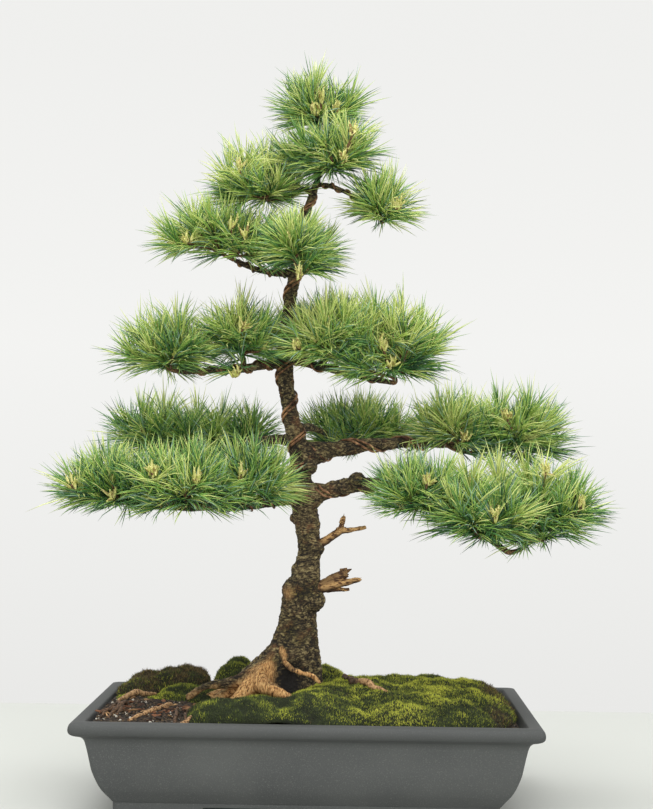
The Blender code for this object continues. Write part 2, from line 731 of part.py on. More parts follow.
lines = {"trunk": trunk_line(TRUNK_RINGS)}
trunk = new_object("trunk", trunk_mesh("trunk"), tree, bark)
fused(trunk, root_meshes())
ground = Matrix.Translation((0, 0, SOIL_TOP + GAP - 0.05)) @ Matrix.Diagonal((1, 1, 0.1, 1))
block = bmesh.new()
bmesh.ops.create_cube(block, size=1, matrix=ground)
below_ground = helper("below_ground", mesh_of("below_ground", block))
boolean(trunk, below_ground)
round_trunk = helper("round_trunk", trunk_mesh("round_trunk", GAP))
round_foot = helper("round_foot", trunk_mesh("round_foot", 2 * GAP))
fused(round_foot, root_meshes(2 * GAP))

for cushion_name in CUSHIONS:
    cushion(cushion_name, tree, earth if cushion_name.startswith("mulch") else moss_green)

for bough_name, (parent_name, where, *_) in BOUGHS.items():
    lines[bough_name] = bough_line(bough_name)
    thick = 2 if lines[bough_name][1][0] > 0.005 else 1
    bough = tube(bough_name, *lines[bough_name], thick, tree, bark)
    if parent_name == "trunk":
        boolean(bough, round_trunk)
    elif where < 1.0:
        parent_points, parent_radii = lines[parent_name]
        wider = [radius + GAP for radius in parent_radii]
        sleeve = tube("round_" + bough_name, parent_points, wider, 2, cutters)
        sleeve.hide_render = True
        sleeve.display_type = "WIRE"
        boolean(bough, sleeve)

for mass_name in FOLIAGE:
    lines[mass_name] = stem_line(mass_name)
limbs = limb_balls()
for mass_name in FOLIAGE:
    foliage(mass_name, tree, needle_green)
for wire_name in WIRES:
    wire(wire_name, tree, copper)
for stub_name in DEADWOOD:
    deadwood(stub_name, tree, pale_wood)

whole = bpy.data.objects.new("tree_and_pot", None)
tree.objects.link(whole)
whole.location = POT_AT
for node in [*tree.objects, *cutters.objects]:
    if node != whole:
        node.parent = whole
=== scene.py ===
"""The looks of a Japanese white pine trained as a bonsai, in its pot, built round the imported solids.

Metres, +Z up, +X to the right and +Y to the back as the tree is shown. Sizes in the tables are in
millimetres from the middle of the pot's foot, and `placed` turns them into the frame's metres.
"""

import math

import bpy
import numpy as np
from mathutils import Matrix, Vector


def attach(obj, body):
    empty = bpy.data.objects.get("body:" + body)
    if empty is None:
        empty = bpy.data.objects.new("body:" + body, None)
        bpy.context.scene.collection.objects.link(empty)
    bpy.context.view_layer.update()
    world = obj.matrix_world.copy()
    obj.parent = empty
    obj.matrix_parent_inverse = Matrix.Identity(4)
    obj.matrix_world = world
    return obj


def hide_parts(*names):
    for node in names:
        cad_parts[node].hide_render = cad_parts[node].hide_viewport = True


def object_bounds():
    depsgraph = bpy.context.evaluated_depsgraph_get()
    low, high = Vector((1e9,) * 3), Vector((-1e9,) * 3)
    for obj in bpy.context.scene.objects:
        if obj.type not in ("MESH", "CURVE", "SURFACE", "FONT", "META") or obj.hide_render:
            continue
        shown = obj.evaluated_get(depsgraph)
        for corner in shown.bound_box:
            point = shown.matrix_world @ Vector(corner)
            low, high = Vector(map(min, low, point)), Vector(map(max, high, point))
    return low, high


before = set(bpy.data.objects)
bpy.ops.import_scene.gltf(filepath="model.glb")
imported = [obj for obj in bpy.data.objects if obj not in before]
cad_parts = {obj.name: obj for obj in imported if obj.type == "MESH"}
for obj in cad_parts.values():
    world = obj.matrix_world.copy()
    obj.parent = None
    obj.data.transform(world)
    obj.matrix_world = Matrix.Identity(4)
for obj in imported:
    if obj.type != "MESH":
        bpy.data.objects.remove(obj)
CAD_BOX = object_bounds()

# The camera. The tree is seen from its front through a long lens, from a stand level with its lowest
# boughs, turned up a little and a hair to the left.
EYE = (0.017153, -1.69372, 0.32592)
PITCH, YAW, ROLL = 0.0304, -0.0140, 0.0136
FOCAL_PIXELS = 1768.7
LONG_SIDE_PIXELS = 809
SENSOR = 36.0
CLIP_NEAR, CLIP_FAR = 0.05, 50.0


def camera_turn(pitch, yaw, roll):
    """Right, up and back for a camera that looks along +Y, turned by yaw, then pitch, then roll."""
    level = np.array((math.sin(yaw), math.cos(yaw), 0.0))
    side = np.array((math.cos(yaw), -math.sin(yaw), 0.0))
    ahead = level * math.cos(pitch) + np.array((0, 0, math.sin(pitch)))
    over = -level * math.sin(pitch) + np.array((0, 0, math.cos(pitch)))
    right = side * math.cos(roll) + over * math.sin(roll)
    up = -side * math.sin(roll) + over * math.cos(roll)
    return np.stack((right, up, -ahead), axis=1)


camera = bpy.data.objects.new("camera", bpy.data.cameras.new("camera"))
bpy.context.scene.collection.objects.link(camera)
camera.data.lens = FOCAL_PIXELS * SENSOR / LONG_SIDE_PIXELS
camera.data.sensor_width = SENSOR
camera.data.clip_start, camera.data.clip_end = CLIP_NEAR, CLIP_FAR
camera.matrix_world = Matrix.Translation(EYE) @ Matrix(camera_turn(PITCH, YAW, ROLL).tolist()).to_4x4()
bpy.context.scene.camera = camera

# The studio. A pale table top that ends behind the pot against a near white room, one large soft lamp
# overhead and a little in front, a weaker one low in front on the right, and light from all round that
# keeps the shade of the crown green.
FLOOR_END = 0.63
FLOOR_SIDE = 6.0
FLOOR_CORNERS = [
    (side * FLOOR_SIDE / 2, FLOOR_END - near * FLOOR_SIDE, 0)
    for side, near in ((-1, 1), (1, 1), (1, 0), (-1, 0))
]
ROOM_STRENGTH = 0.90
ROOM_BAND = 0.25
LAMP_AIM = (0, 0, 0.35)
LAMPS = (
    ("overhead_lamp", (-0.15, -0.5, 2.35), 2.0, 44.0),
    ("front_lamp", (0.35, -2.0, 0.85), 1.5, 14.0),
)


def linear(hex_colour):
    """An sRGB hex colour as linear red, green, blue and an alpha of 1."""
    parts = [int(hex_colour[i : i + 2], 16) / 255 for i in (1, 3, 5)]
    return (*[p / 12.92 if p <= 0.04045 else ((p + 0.055) / 1.055) ** 2.4 for p in parts], 1.0)


def add(finish, kind, inputs=None, **settings):
    """Adds a shader node of this kind to a finish, with its settings, and its inputs set or linked."""
    made = finish.node_tree.nodes.new("ShaderNode" + kind)
    for key, value in settings.items():
        setattr(made, key, value)
    for key, value in (inputs or {}).items():
        if isinstance(value, bpy.types.NodeSocket):
            finish.node_tree.links.new(value, made.inputs[key])
        else:
            made.inputs[key].default_value = value
    return made


def ramp(finish, factor, first, last, *between):
    """A colour ramp read at a factor, with its two ends and any stops between them as (position, linear
    colour). Gives its colour."""
    made = add(finish, "ValToRGB", {"Fac": factor})
    for element, (position, colour) in zip(made.color_ramp.elements, (first, last)):
        element.position = position
        element.color = colour
    for position, colour in between:
        made.color_ramp.elements.new(position).color = colour
    return made.outputs["Color"]


def feed(finish, shader, sources):
    """Links outputs of a finish's nodes to its shader's inputs of these names."""
    for key, source in sources.items():
        finish.node_tree.links.new(source, shader.inputs[key])


def new_finish(name, colour, roughness, metallic=0.0):
    """A finish with one shader, and that shader."""
    finish = bpy.data.materials.new(name)
    finish.use_nodes = True
    shader = finish.node_tree.nodes["Principled BSDF"]
    shader.inputs["Base Color"].default_value = linear(colour)
    shader.inputs["Roughness"].default_value = roughness
    shader.inputs["Metallic"].default_value = metallic
    finish.diffuse_color = linear(colour)
    return finish, shader


def new_piece(name, points, faces, finishes, picks=None, smooth=True):
    """A mesh object at the origin from an array of points and arrays of faces, each row a face's corner
    numbers. picks gives each face the number of its finish."""
    mesh = bpy.data.meshes.new(name)
    points = np.asarray(points, np.float32).reshape(-1, 3)
    faces = [np.asarray(some, np.int32) for some in faces if len(some)]
    sides = np.concatenate([np.full(len(some), some.shape[1]) for some in faces])
    mesh.vertices.add(len(points))
    mesh.vertices.foreach_set("co", points.ravel())
    mesh.loops.add(int(sides.sum()))
    mesh.loops.foreach_set("vertex_index", np.concatenate([some.ravel() for some in faces]))
    mesh.polygons.add(len(sides))
    mesh.polygons.foreach_set("loop_start", np.concatenate(([0], np.cumsum(sides)[:-1])).astype(np.int32))
    mesh.polygons.foreach_set("use_smooth", np.full(len(sides), smooth))
    for finish in finishes:
        mesh.materials.append(finish)
    if picks is not None:
        mesh.polygons.foreach_set("material_index", np.asarray(picks, np.int32))
    mesh.update(calc_edges=True)
    made = bpy.data.objects.new(name, mesh)
    bpy.context.scene.collection.objects.link(made)
    return made


table_white, _ = new_finish("matt_white_paper", "#c6c8c3", 0.9)
table = new_piece("table_top", FLOOR_CORNERS, [[(0, 1, 2, 3)]], [table_white], smooth=False)

room = bpy.data.worlds.new("studio")
room.use_nodes = True
backdrop = room.node_tree.nodes["Background"]
backdrop.inputs["Strength"].default_value = ROOM_STRENGTH
height = add(room, "SeparateXYZ", {"Vector": add(room, "TexCoord").outputs["Generated"]}).outputs["Z"]
heights = add(room, "MapRange", {"Value": height, "From Min": -ROOM_BAND, "From Max": ROOM_BAND})
walls = ramp(
    room, heights.outputs["Result"],
    (0.22, linear("#f4f4f2")), (0.95, linear("#fbfbf9")), (0.62, linear("#fffffd")),
)
feed(room, backdrop, {"Color": walls})
bpy.context.scene.world = room
bpy.context.scene.view_settings.view_transform = "Standard"

for lamp_name, place, size, power in LAMPS:
    lamp = bpy.data.objects.new(lamp_name, bpy.data.lights.new(lamp_name, "AREA"))
    bpy.context.scene.collection.objects.link(lamp)
    lamp.data.size = size
    lamp.data.energy = power
    lamp.location = place
    lamp.rotation_mode = "QUATERNION"
    lamp.rotation_quaternion = (Vector(LAMP_AIM) - Vector(place)).to_track_quat("-Z", "Y")

# The pot is dark grey stoneware, pressed in a mould, its rolled lip wiped smooth, and fired without a
# glaze. It has a neck under the lip, sides that curve in to a plinth line, a foot at each corner and two
# drain holes.
MM = 0.001
POT_AT = np.array((-18.5, 7.0, 0.0))
POT_LENGTH, POT_DEPTH, POT_HEIGHT = 420.0, 294.0, 91.0
FOOT_HEIGHT, FOOT_INSET, FOOT_WIDTH = 12.5, 36.5, 12.0
FOOT_GAPS = (184.0, 112.0)
FOOT_GAP_TOP, FOOT_GAP_SLOPE, FOOT_GAP_TURN = 12.0, 9.0, 0.35
FOOT_GAP_ROWS = 12
CUT_BELOW = 2.0
CORNER_RADIUS = 5.0
CORNER_POINTS = 9
OUTSIDE_ROWS, INSIDE_ROWS = 60, 24
DRAIN_RADIUS, DRAIN_APART, DRAIN_SIDES = 11.0, 150.0, 32
DRAIN_CUT = (8.0, 24.0)
SHARP_ANGLE = 35.0
NONE, FULL = (0, 0, 0, 1), (1, 1, 1, 1)
POT_OUTSIDE = (
    (75.5, 36.4), (74, 35), (70, 32), (63.5, 27), (55.5, 22.9), (45.5, 19.2), (37, 17.3), (26, 15.1),
    (17.5, 12.8), (14, 9.5), (12.4, 4.5), (10.5, 1.2), (7.5, 0), (4, 0.3), (1, 2), (0, 5),
)
POT_INSIDE = ((0, 12), (1.2, 14), (8, 16), (25, 22.5), (45, 28), (70.5, 38))


def placed(points):
    """Places in millimetres from the middle of the pot's foot as metres in the frame."""
    return (np.asarray(points, float) + POT_AT) * MM


def smooth_rows(rows, count):
    """Rows of numbers read evenly, by index, from the Catmull-Rom curve through them."""
    rows = np.array(rows, float)
    padded = np.vstack([2 * rows[0] - rows[1], rows, 2 * rows[-1] - rows[-2]])
    spots = np.linspace(0, len(rows) - 1, count)
    start = np.minimum(spots.astype(int), len(rows) - 2)
    t = (spots - start)[:, None]
    a, b, c, d = (padded[start + i] for i in range(4))
    return 0.5 * (2 * b + (c - a) * t + (2 * a - 5 * b + 4 * c - d) * t**2 + (3 * b - a - 3 * c + d) * t**3)


def rounded_rings(rows):
    """A rectangle with round corners for each row of (height, inset): corner centre + radius *
    (cos a, sin a)."""
    rows = np.asarray(rows, float)
    turn = np.linspace(0, math.pi / 2, CORNER_POINTS)
    angle = np.concatenate([turn + math.pi / 2 * k for k in range(4)])
    signs = np.repeat(((1, 1), (-1, 1), (-1, -1), (1, -1)), CORNER_POINTS, axis=0)
    half = np.array((POT_LENGTH, POT_DEPTH)) / 2 - CORNER_RADIUS
    flat = signs * (half - rows[:, None, 1:]) + CORNER_RADIUS * np.stack((np.cos(angle), np.sin(angle)), 1)
    return np.concatenate((flat, np.broadcast_to(rows[:, None, :1], (*flat.shape[:2], 1))), axis=2)


def skin(rings):
    """Faces through rings of the same number of points, in rows, with the end rings closed."""
    count, sides = rings.shape[:2]
    index = np.arange(count * sides).reshape(count, sides)
    after = np.roll(index, -1, axis=1)
    quads = np.stack((index[:-1], after[:-1], after[1:], index[1:]), -1).reshape(-1, 4)
    return rings.reshape(-1, 3), [quads, np.concatenate((index[:1, ::-1], index[-1:]))]


def applied(made):
    """The object with its modifiers made part of its mesh."""
    seen = made.evaluated_get(bpy.context.evaluated_depsgraph_get())
    mesh = bpy.data.meshes.new_from_object(seen)
    made.modifiers.clear()
    made.data = mesh
    return made


def cut(made, rings):
    """Takes the solid through these rings away from an object."""
    cutter = new_piece("cutter", *skin(placed(rings)), [])
    modifier = made.modifiers.new("cut", "BOOLEAN")
    modifier.solver = "EXACT"
    modifier.object = cutter
    applied(made)
    bpy.data.objects.remove(cutter)


def foot_gap(length, across):
    """The space between two feet, as a bar whose sides slope out towards the table in a curve."""
    s = np.linspace(0, 1, FOOT_GAP_ROWS)
    side = length / 2 + FOOT_GAP_SLOPE * (1 - s) ** 2
    height = -CUT_BELOW + (FOOT_GAP_TOP + CUT_BELOW) * (FOOT_GAP_TURN + (1 - FOOT_GAP_TURN) * s)
    side, height = np.concatenate(([side[0]], side)), np.concatenate(([-CUT_BELOW], height))
    outline = np.stack((np.concatenate((side, -side[::-1])), np.concatenate((height, height[::-1]))), 1)
    rings = []
    for deep in (-POT_LENGTH, POT_LENGTH):
        one, other = outline[:, :1], np.full((len(outline), 1), deep)
        rings.append(np.hstack((one, other, outline[:, 1:]) if across else (other, one, outline[:, 1:])))
    return np.array(rings[::-1] if across else rings)


outside = smooth_rows([(POT_HEIGHT - depth, inset) for depth, inset in POT_OUTSIDE], OUTSIDE_ROWS)
inside = smooth_rows([(POT_HEIGHT - depth, inset) for depth, inset in POT_INSIDE], INSIDE_ROWS)
foot = ((FOOT_HEIGHT, FOOT_INSET + FOOT_WIDTH), (0, FOOT_INSET + FOOT_WIDTH), (0, FOOT_INSET))
pot_rows = np.vstack((foot, outside, inside))
pot = new_piece("pot_shell", *skin(placed(rounded_rings(pot_rows))), [])
cut(pot, foot_gap(FOOT_GAPS[0], True))
cut(pot, foot_gap(FOOT_GAPS[1], False))
around = np.linspace(0, math.tau, DRAIN_SIDES, endpoint=False)
for side in (-1, 1):
    middle = side * DRAIN_APART / 2
    hole = np.stack((middle + DRAIN_RADIUS * np.cos(around), DRAIN_RADIUS * np.sin(around)), 1)
    cut(pot, np.array([np.hstack((hole, np.full((len(hole), 1), z))) for z in DRAIN_CUT]))
pot.data.shade_smooth()
pot.data.set_sharp_from_angle(angle=math.radians(SHARP_ANGLE))


def noise(finish, places, scale, detail, roughness=0.5):
    """Noise over places, with features about one over its scale in size. Gives its factor."""
    inputs = {"Vector": places, "Scale": scale, "Detail": detail, "Roughness": roughness}
    return add(finish, "TexNoise", inputs).outputs["Fac"]


def blended(finish, factor, one, other, **settings):
    """One colour turned into another by a factor. Gives the colour."""
    return add(finish, "MixRGB", {"Fac": factor, "Color1": one, "Color2": other}, **settings).outputs["Color"]


def bump(finish, height, strength, distance, **settings):
    """Fine relief from a height, so many metres high. Gives the bent normal."""
    inputs = {"Height": height, "Strength": strength, "Distance": distance}
    return add(finish, "Bump", inputs, **settings).outputs["Normal"]


# Unglazed stoneware: a dark iron-grey body, dry to the eye, with fine grog in it that shows as paler
# specks, and faint clouds where the kiln's heat was uneven. The lip is darkened with painted shade.
stoneware, shader = new_finish("unglazed_stoneware", "#4e504f", 0.7)
places = add(stoneware, "TexCoord").outputs["Object"]
clouds = noise(stoneware, places, 14.0, 3.0)
grog = noise(stoneware, places, 900.0, 2.0, 0.7)
body = ramp(stoneware, clouds, (0.3, linear("#494b4b")), (0.7, linear("#555756")))
specks = ramp(stoneware, grog, (0.55, NONE), (0.75, FULL))
body = blended(stoneware, specks, body, linear("#696b68"))
level = add(stoneware, "SeparateXYZ", {"Vector": places}).outputs["Z"]
# Painted shade: from 70 to 78 mm up, the lip turns half way to a darker grey, as dark as the body.
painted_lip_shade = add(stoneware, "MapRange", {"Value": level, "From Min": 0.07, "From Max": 0.078, "To Max": 0.5})
body = blended(stoneware, painted_lip_shade.outputs["Result"], body, linear("#363837"))
dry = add(stoneware, "MapRange", {"Value": clouds, "To Min": 0.62, "To Max": 0.8}).outputs["Result"]
grain = bump(stoneware, grog, 0.35, 0.0003)
feed(stoneware, shader, {"Base Color": body, "Roughness": dry, "Normal": grain})
pot.data.materials.append(stoneware)
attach(pot, "root")
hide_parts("pot")

# The soil is a damp granular mix of fired clay, grit and leaf mould, filled to just under the lip. On the
# left it lies bare in a low heap, and it is what shows in the hollow under the trunk and between the
# cushions of moss.
SOIL_TOP = POT_HEIGHT - 6.0
SOIL_STEP = 3.0
SOIL_HALF = (193.8, 130.8)
SOIL_FLOOR = 21.2
SOIL_FLOOR_HALF = (172.0, 109.0)
SOIL_EDGE_DIP = 4.0
HEAP = (-152.0, -36.0, 62.0, 108.0, 7.5)


def hashed(cells, seed):
    """A number from 0 to 1 for each lattice cell, mixed from its three whole numbers and the seed."""
    c = cells.astype(np.int64)
    h = c[..., 0] * 374761393 + c[..., 1] * 668265263 + c[..., 2] * 1274126177 + seed * 97471163
    h = (h ^ (h >> 13)) * 1274126177
    return ((h ^ (h >> 16)) & 0xFFFFFF) / 0xFFFFFF


def drift(points, size, seed):
    """Smooth noise from -1 to 1 with features of this size: lattice values blended by 3t^2 - 2t^3 on
    each axis."""
    spot = np.asarray(points, float) / size
    corner = np.floor(spot).astype(np.int64)
    t = spot - corner
    t = t * t * (3 - 2 * t)
    total = 0.0
    for step in np.ndindex(2, 2, 2):
        weight = np.prod(np.where(step, t, 1 - t), axis=-1)
        total = total + weight * hashed(corner + np.array(step), seed)
    return 2 * total - 1


def dome(flat, cushion):
    """The height of a cushion over each place: height * (1 - q^2.6)^0.6, with q the plan's own distance,
    which is 1 on an outline between an ellipse and a rectangle."""
    x, y, half_x, half_y, height = cushion
    u, v = np.abs(flat[:, 0] - x) / half_x, np.abs(flat[:, 1] - y) / half_y
    q = (u**3.2 + v**3.2) ** (1 / 3.2)
    return height * np.clip(1 - q**2.6, 0, None) ** 0.6


def soil_height(flat):
    """The soil's own surface: its level, the heap on the left, and lumps of 9 and 3 mm."""
    spots = np.column_stack((flat, np.zeros(len(flat))))
    return SOIL_TOP + dome(flat, HEAP) + 1.3 * drift(spots, 9, 1) + 0.6 * drift(spots, 3.2, 2)


def flat_grid(half, step):
    """Places on a level grid that reaches this far from the middle, and its quads."""
    xs = np.linspace(-half[0], half[0], int(2 * half[0] / step) + 1)
    ys = np.linspace(-half[1], half[1], int(2 * half[1] / step) + 1)
    flat = np.stack(np.meshgrid(xs, ys, indexing="ij"), -1)
    index = np.arange(len(xs) * len(ys)).reshape(len(xs), len(ys))
    quads = np.stack((index[:-1, :-1], index[1:, :-1], index[1:, 1:], index[:-1, 1:]), -1).reshape(-1, 4)
    return flat.reshape(-1, 2), quads, index


def joined(parts):
    """Several (points, faces) as one, with the faces' corner numbers moved on."""
    start, points, faces = 0, [], {}
    for some, theirs in parts:
        some = np.asarray(some).reshape(-1, 3)
        points.append(some)
        for f in theirs:
            faces.setdefault(np.asarray(f).shape[1], []).append(np.asarray(f) + start)
        start += len(some)
    return np.concatenate(points), [np.concatenate(f) for f in faces.values()]


flat, quads, index = flat_grid(SOIL_HALF, SOIL_STEP)
top = np.column_stack((flat, soil_height(flat)))
rim = np.concatenate((index[:-1, 0], index[-1, :-1], index[:0:-1, -1], index[0, :0:-1]))
top[rim, 2] = SOIL_TOP - SOIL_EDGE_DIP
low = top[rim] * (*(np.array(SOIL_FLOOR_HALF) / SOIL_HALF), 0) + (0, 0, SOIL_FLOOR)
low_index = np.arange(len(top), len(top) + len(rim))
walls = np.stack((rim, low_index, np.roll(low_index, -1), np.roll(rim, -1)), -1)
soil = new_piece("soil_mix", placed(np.vstack((top, low))), [quads, walls, low_index[None, ::-1]], [])

# Damp soil: near black humus between grains of brown fired clay and grey grit 1 to 3 mm across, dull
# all over.
damp_soil, shader = new_finish("damp_granular_soil", "#3a3028", 0.95)
places = add(damp_soil, "TexCoord").outputs["Object"]
grains = add(damp_soil, "TexVoronoi", {"Vector": places, "Scale": 480.0}).outputs
shades = ramp(
    damp_soil, grains["Color"],
    (0.0, linear("#15110d")), (1.0, linear("#6d5a44")), (0.6, linear("#32281f")),
)
relief = bump(damp_soil, grains["Distance"], 0.8, 0.0012)
feed(damp_soil, shader, {"Base Color": shades, "Normal": relief})
soil.data.materials.append(damp_soil)
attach(soil, "root")
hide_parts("soil")

# The trunk is one stem of old pine wood under scaly bark, swollen at the foot into surface roots. Where
# the roots were laid bare their bark has worn to a smooth orange tan. One skin is wrapped round stem,
# roots and collars.
TRUNK = (
    # x, y, height and radius, as in BARE_ROOTS and the knobs too.
    (-26, 6, 85.3, 41), (-24, 6, 106, 34), (-21, 5, 128, 29.5), (-15.5, 4, 153, 21.5),
    (-13, 3, 172, 17.8), (-9.3, 2, 196, 18.8), (-5.5, 0, 216, 13.6), (-3.2, -2, 244, 11.2),
    (-8.5, -3, 280, 12.6), (-12.8, -2, 306, 11.3), (-13, 0, 332, 10.4), (-22, 2, 365, 7.6),
    (-29, 3, 415, 8.3), (-26.7, 2, 461, 6.3), (-19.5, 0, 509, 5.6), (-11, -1, 558, 4.3),
    (1, 0, 598, 3.3), (4.5, 1, 628, 2.6), (0, 0, 646, 2.1),
)
TRUNK_RINGS = 420
TRUNK_SIDES = 90
LOBES, LOBE_DEPTH, LOBE_TURN = 5, 0.10, 0.6
ROOTS = (
    # Bearing, length, height at the trunk and radius there.
    (176, 92, 32, 13), (212, 66, 24, 11), (283, 68, 22, 9), (322, 62, 22, 7.5),
    (12, 66, 20, 9), (78, 58, 22, 9), (128, 62, 24, 10),
)
ROOT_TIP = 3.5
ROOT_SWAY = 5.0
BARE_ROOTS = (
    ((-27, -15, 144, 1.8), (-24, -27, 134, 2.5), (-17, -36, 128, 2.8), (-8, -40, 125, 2.6),
     (3, -42, 122, 2.1), (10, -42, 116, 1.5)),
    ((-50, -18, 122, 8), (-45, -29, 112, 8), (-34, -37, 108, 6.6), (-22, -44, 104, 5), (-8, -52, 97, 3.2)),
    ((-39, -4, 129, 11), (-56, -10, 118, 9), (-76, -15, 112, 5.4), (-98, -20, 109, 3.6),
     (-116, -25, 98, 2.6)),
    ((-33, 2, 136, 12), (-48, 2, 124, 11), (-61, 0, 112, 10), (-78, -4, 101, 6), (-96, -12, 90, 4)),
    ((-44, -14, 124, 8), (-58, -26, 108, 8), (-72, -38, 96, 5), (-84, -48, 88, 3)),
)
BARE_ROWS = 40
HOLLOW = (-75.0, 25.0, 118.0, 15.0, 13.0)
HOLLOW_REACH = 48.0
SCAR = (-24.0, -17.0, 197.0, 6.5)
KNOBS = (
    (1.5, -6, 190, 12), (-18, -2, 199, 11.6), (1.6, -4, 240, 10), (-11, -2, 297, 12.5),
    (-4, -8, 318, 8), (-16, 2, 268, 6.5), (-14.5, 0, 219, 6.5), (-2, -3, 262, 9.5),
)
BOUGH_KNOBS = ((21, -21, 297, 8.6), (42, -37, 306, 8.2), (53, -41, 299, 7.2), (31, -29, 300, 7.6))
TRUNK_VOXEL, BOUGH_VOXEL = 1.05, 0.8
LIMB_SIDES = 20
PLATE = (4.6, 4.6, 2.3)
GROOVE_WIDTH, GROOVE_DEPTH = 0.16, 0.95
CRACK_WIDTH = 0.13
SCALE_RISE, GRAIN_DEPTH, FIBRE_DEPTH = 0.7, 0.55, 0.9
BATCH = 4000

# Boughs: what each grows from, where on it (height on the trunk, a share of the length elsewhere), its
# tip, how far it arches up in between, and its radius at root and tip.
BOUGHS = {
    "bough_right_low": ("trunk", 285, (54, -38, 302), 5, 8.8, 6.6),
    "bough_right_low_end": ("bough_right_low", 1.0, (178, -84, 244), 7, 6.4, 3),
    "bough_right_low_side": ("bough_right_low_end", 0.5, (148, -104, 258), 3, 3, 2),
    "bough_right_low_inner": ("bough_right_low_end", 0.1, (92, -74, 293), 3, 3, 2),
    "bough_right_rear": ("trunk", 328, (186, 58, 337), 9, 9.4, 3.2),
    "bough_right_rear_side": ("bough_right_rear", 0.55, (136, 34, 348), 2, 3.2, 2.2),
    "bough_left_low": ("trunk", 290, (-150, -72, 280), -5, 7.4, 3),
    "bough_left_low_side": ("bough_left_low", 0.5, (-106, -82, 289), 3, 3.2, 2),
    "bough_left_low_inner": ("bough_left_low", 0.22, (-52, -48, 298), 2, 3.2, 2),
    "bough_left_rear": ("trunk", 342, (-82, 64, 336), 4, 6, 2.8),
    "bough_rear_low": ("trunk", 352, (14, 68, 349), 5, 5.4, 2.6),
    "bough_left_mid": ("trunk", 419, (-128, -19, 407), -3, 5.6, 2.6),
    "bough_left_mid_side": ("bough_left_mid", 0.38, (-68, -16, 422), 1, 2.8, 1.9),
    "bough_right_mid": ("trunk", 425, (74, -36, 398), -2, 5.4, 2.6),
    "bough_right_mid_side": ("bough_right_mid", 0.34, (16, -26, 422), 1, 2.8, 1.9),
    "bough_rear_mid": ("trunk", 440, (2, 60, 436), 4, 4.6, 2.4),
    "bough_left_high": ("trunk", 505, (-78, -19, 514), -5, 4, 2.2),
    "bough_front_high": ("trunk", 518, (-16, -36, 510), 2, 3.2, 2),
    "bough_rear_high": ("trunk", 530, (-16, 38, 533), 3, 3.2, 2),
    "bough_top_right": ("trunk", 590, (47, -11, 567), 6, 2.7, 1.7),
    "bough_top_left": ("trunk", 582, (-40, 0, 587), 3, 2.7, 1.7),
    "bough_apex": ("trunk", 604, (14, -13, 606), 1, 2.1, 1.6),
}
LIMB_POINTS = 90
UP = np.array((0.0, 0.0, 1.0))


def sweep(lines, widths, sides, pointed=False, turn=0.0):
    """Carries a circle along many lines of as many points each: line + width * (cos a * one + sin a *
    two), where one and two lie across the line. The ends are closed, or the far one drawn to a point."""
    lines, widths = np.asarray(lines, float), np.asarray(widths, float)
    many, count, _ = lines.shape
    along = np.gradient(lines, axis=1)
    along /= np.linalg.norm(along, axis=2, keepdims=True)
    least = np.argmin(np.abs(lines[:, -1] - lines[:, 0]), axis=1)
    one = np.repeat(np.eye(3)[least][:, None], count, axis=1)
    one -= (one * along).sum(2, keepdims=True) * along
    one /= np.linalg.norm(one, axis=2, keepdims=True)
    two = np.cross(along, one)
    angle = np.linspace(0, math.tau, sides, endpoint=False) + np.reshape(turn, (-1, 1, 1))
    ring = np.cos(angle)[..., None] * one[:, :, None] + np.sin(angle)[..., None] * two[:, :, None]
    points = lines[:, :, None] + widths[:, :, None, None] * ring
    index = np.arange(many * count * sides).reshape(many, count, sides)
    if pointed:
        index = np.arange(many * ((count - 1) * sides + 1)).reshape(many, -1)
        tips, index = index[:, -1], index[:, :-1].reshape(many, count - 1, sides)
        points = np.concatenate((points[:, :-1].reshape(many, -1, 3), lines[:, -1:]), axis=1)
    after = np.roll(index, -1, axis=2)
    faces = [np.stack((index[:, :-1], after[:, :-1], after[:, 1:], index[:, 1:]), -1).reshape(-1, 4)]
    if pointed:
        tips = np.repeat(tips, sides).reshape(many, sides)
        faces.append(np.stack((index[:, -1], after[:, -1], tips), -1).reshape(-1, 3))
    else:
        faces.append(index[:, -1])
    faces.append(index[:, 0, ::-1])
    return points.reshape(-1, 3), faces


def one_limb(rows, count, sides):
    """A limb swept along the smooth curve through rows of (x, y, z, radius)."""
    rows = smooth_rows(rows, count)
    return sweep(rows[None, :, :3], rows[None, :, 3], sides)


def stem_rings():
    """The trunk's level rings: radius * (1 + lobes at the foot), drawn in over the hollow at its front."""
    rows = smooth_rows(TRUNK, TRUNK_RINGS)
    share = np.linspace(0, 1, TRUNK_RINGS)[:, None]
    angle = np.linspace(0, math.tau, TRUNK_SIDES, endpoint=False)[None]
    lobes = LOBE_DEPTH * np.clip(1 - 4 * share, 0, None) * np.cos(LOBES * angle + LOBE_TURN)
    out = rows[:, 3:] * (1 + lobes)
    bearing, width, height, half, deep = HOLLOW
    off = (np.degrees(angle) - bearing + 180) % 360 - 180
    out = out - deep * np.exp(-((off / width) ** 2) - ((rows[:, 2:3] - height) / half) ** 2)
    flat = rows[:, None, :2] + out[..., None] * np.stack((np.cos(angle), np.sin(angle)), -1)
    return np.concatenate((flat, np.broadcast_to(rows[:, None, 2:3], (*flat.shape[:2], 1))), axis=2)


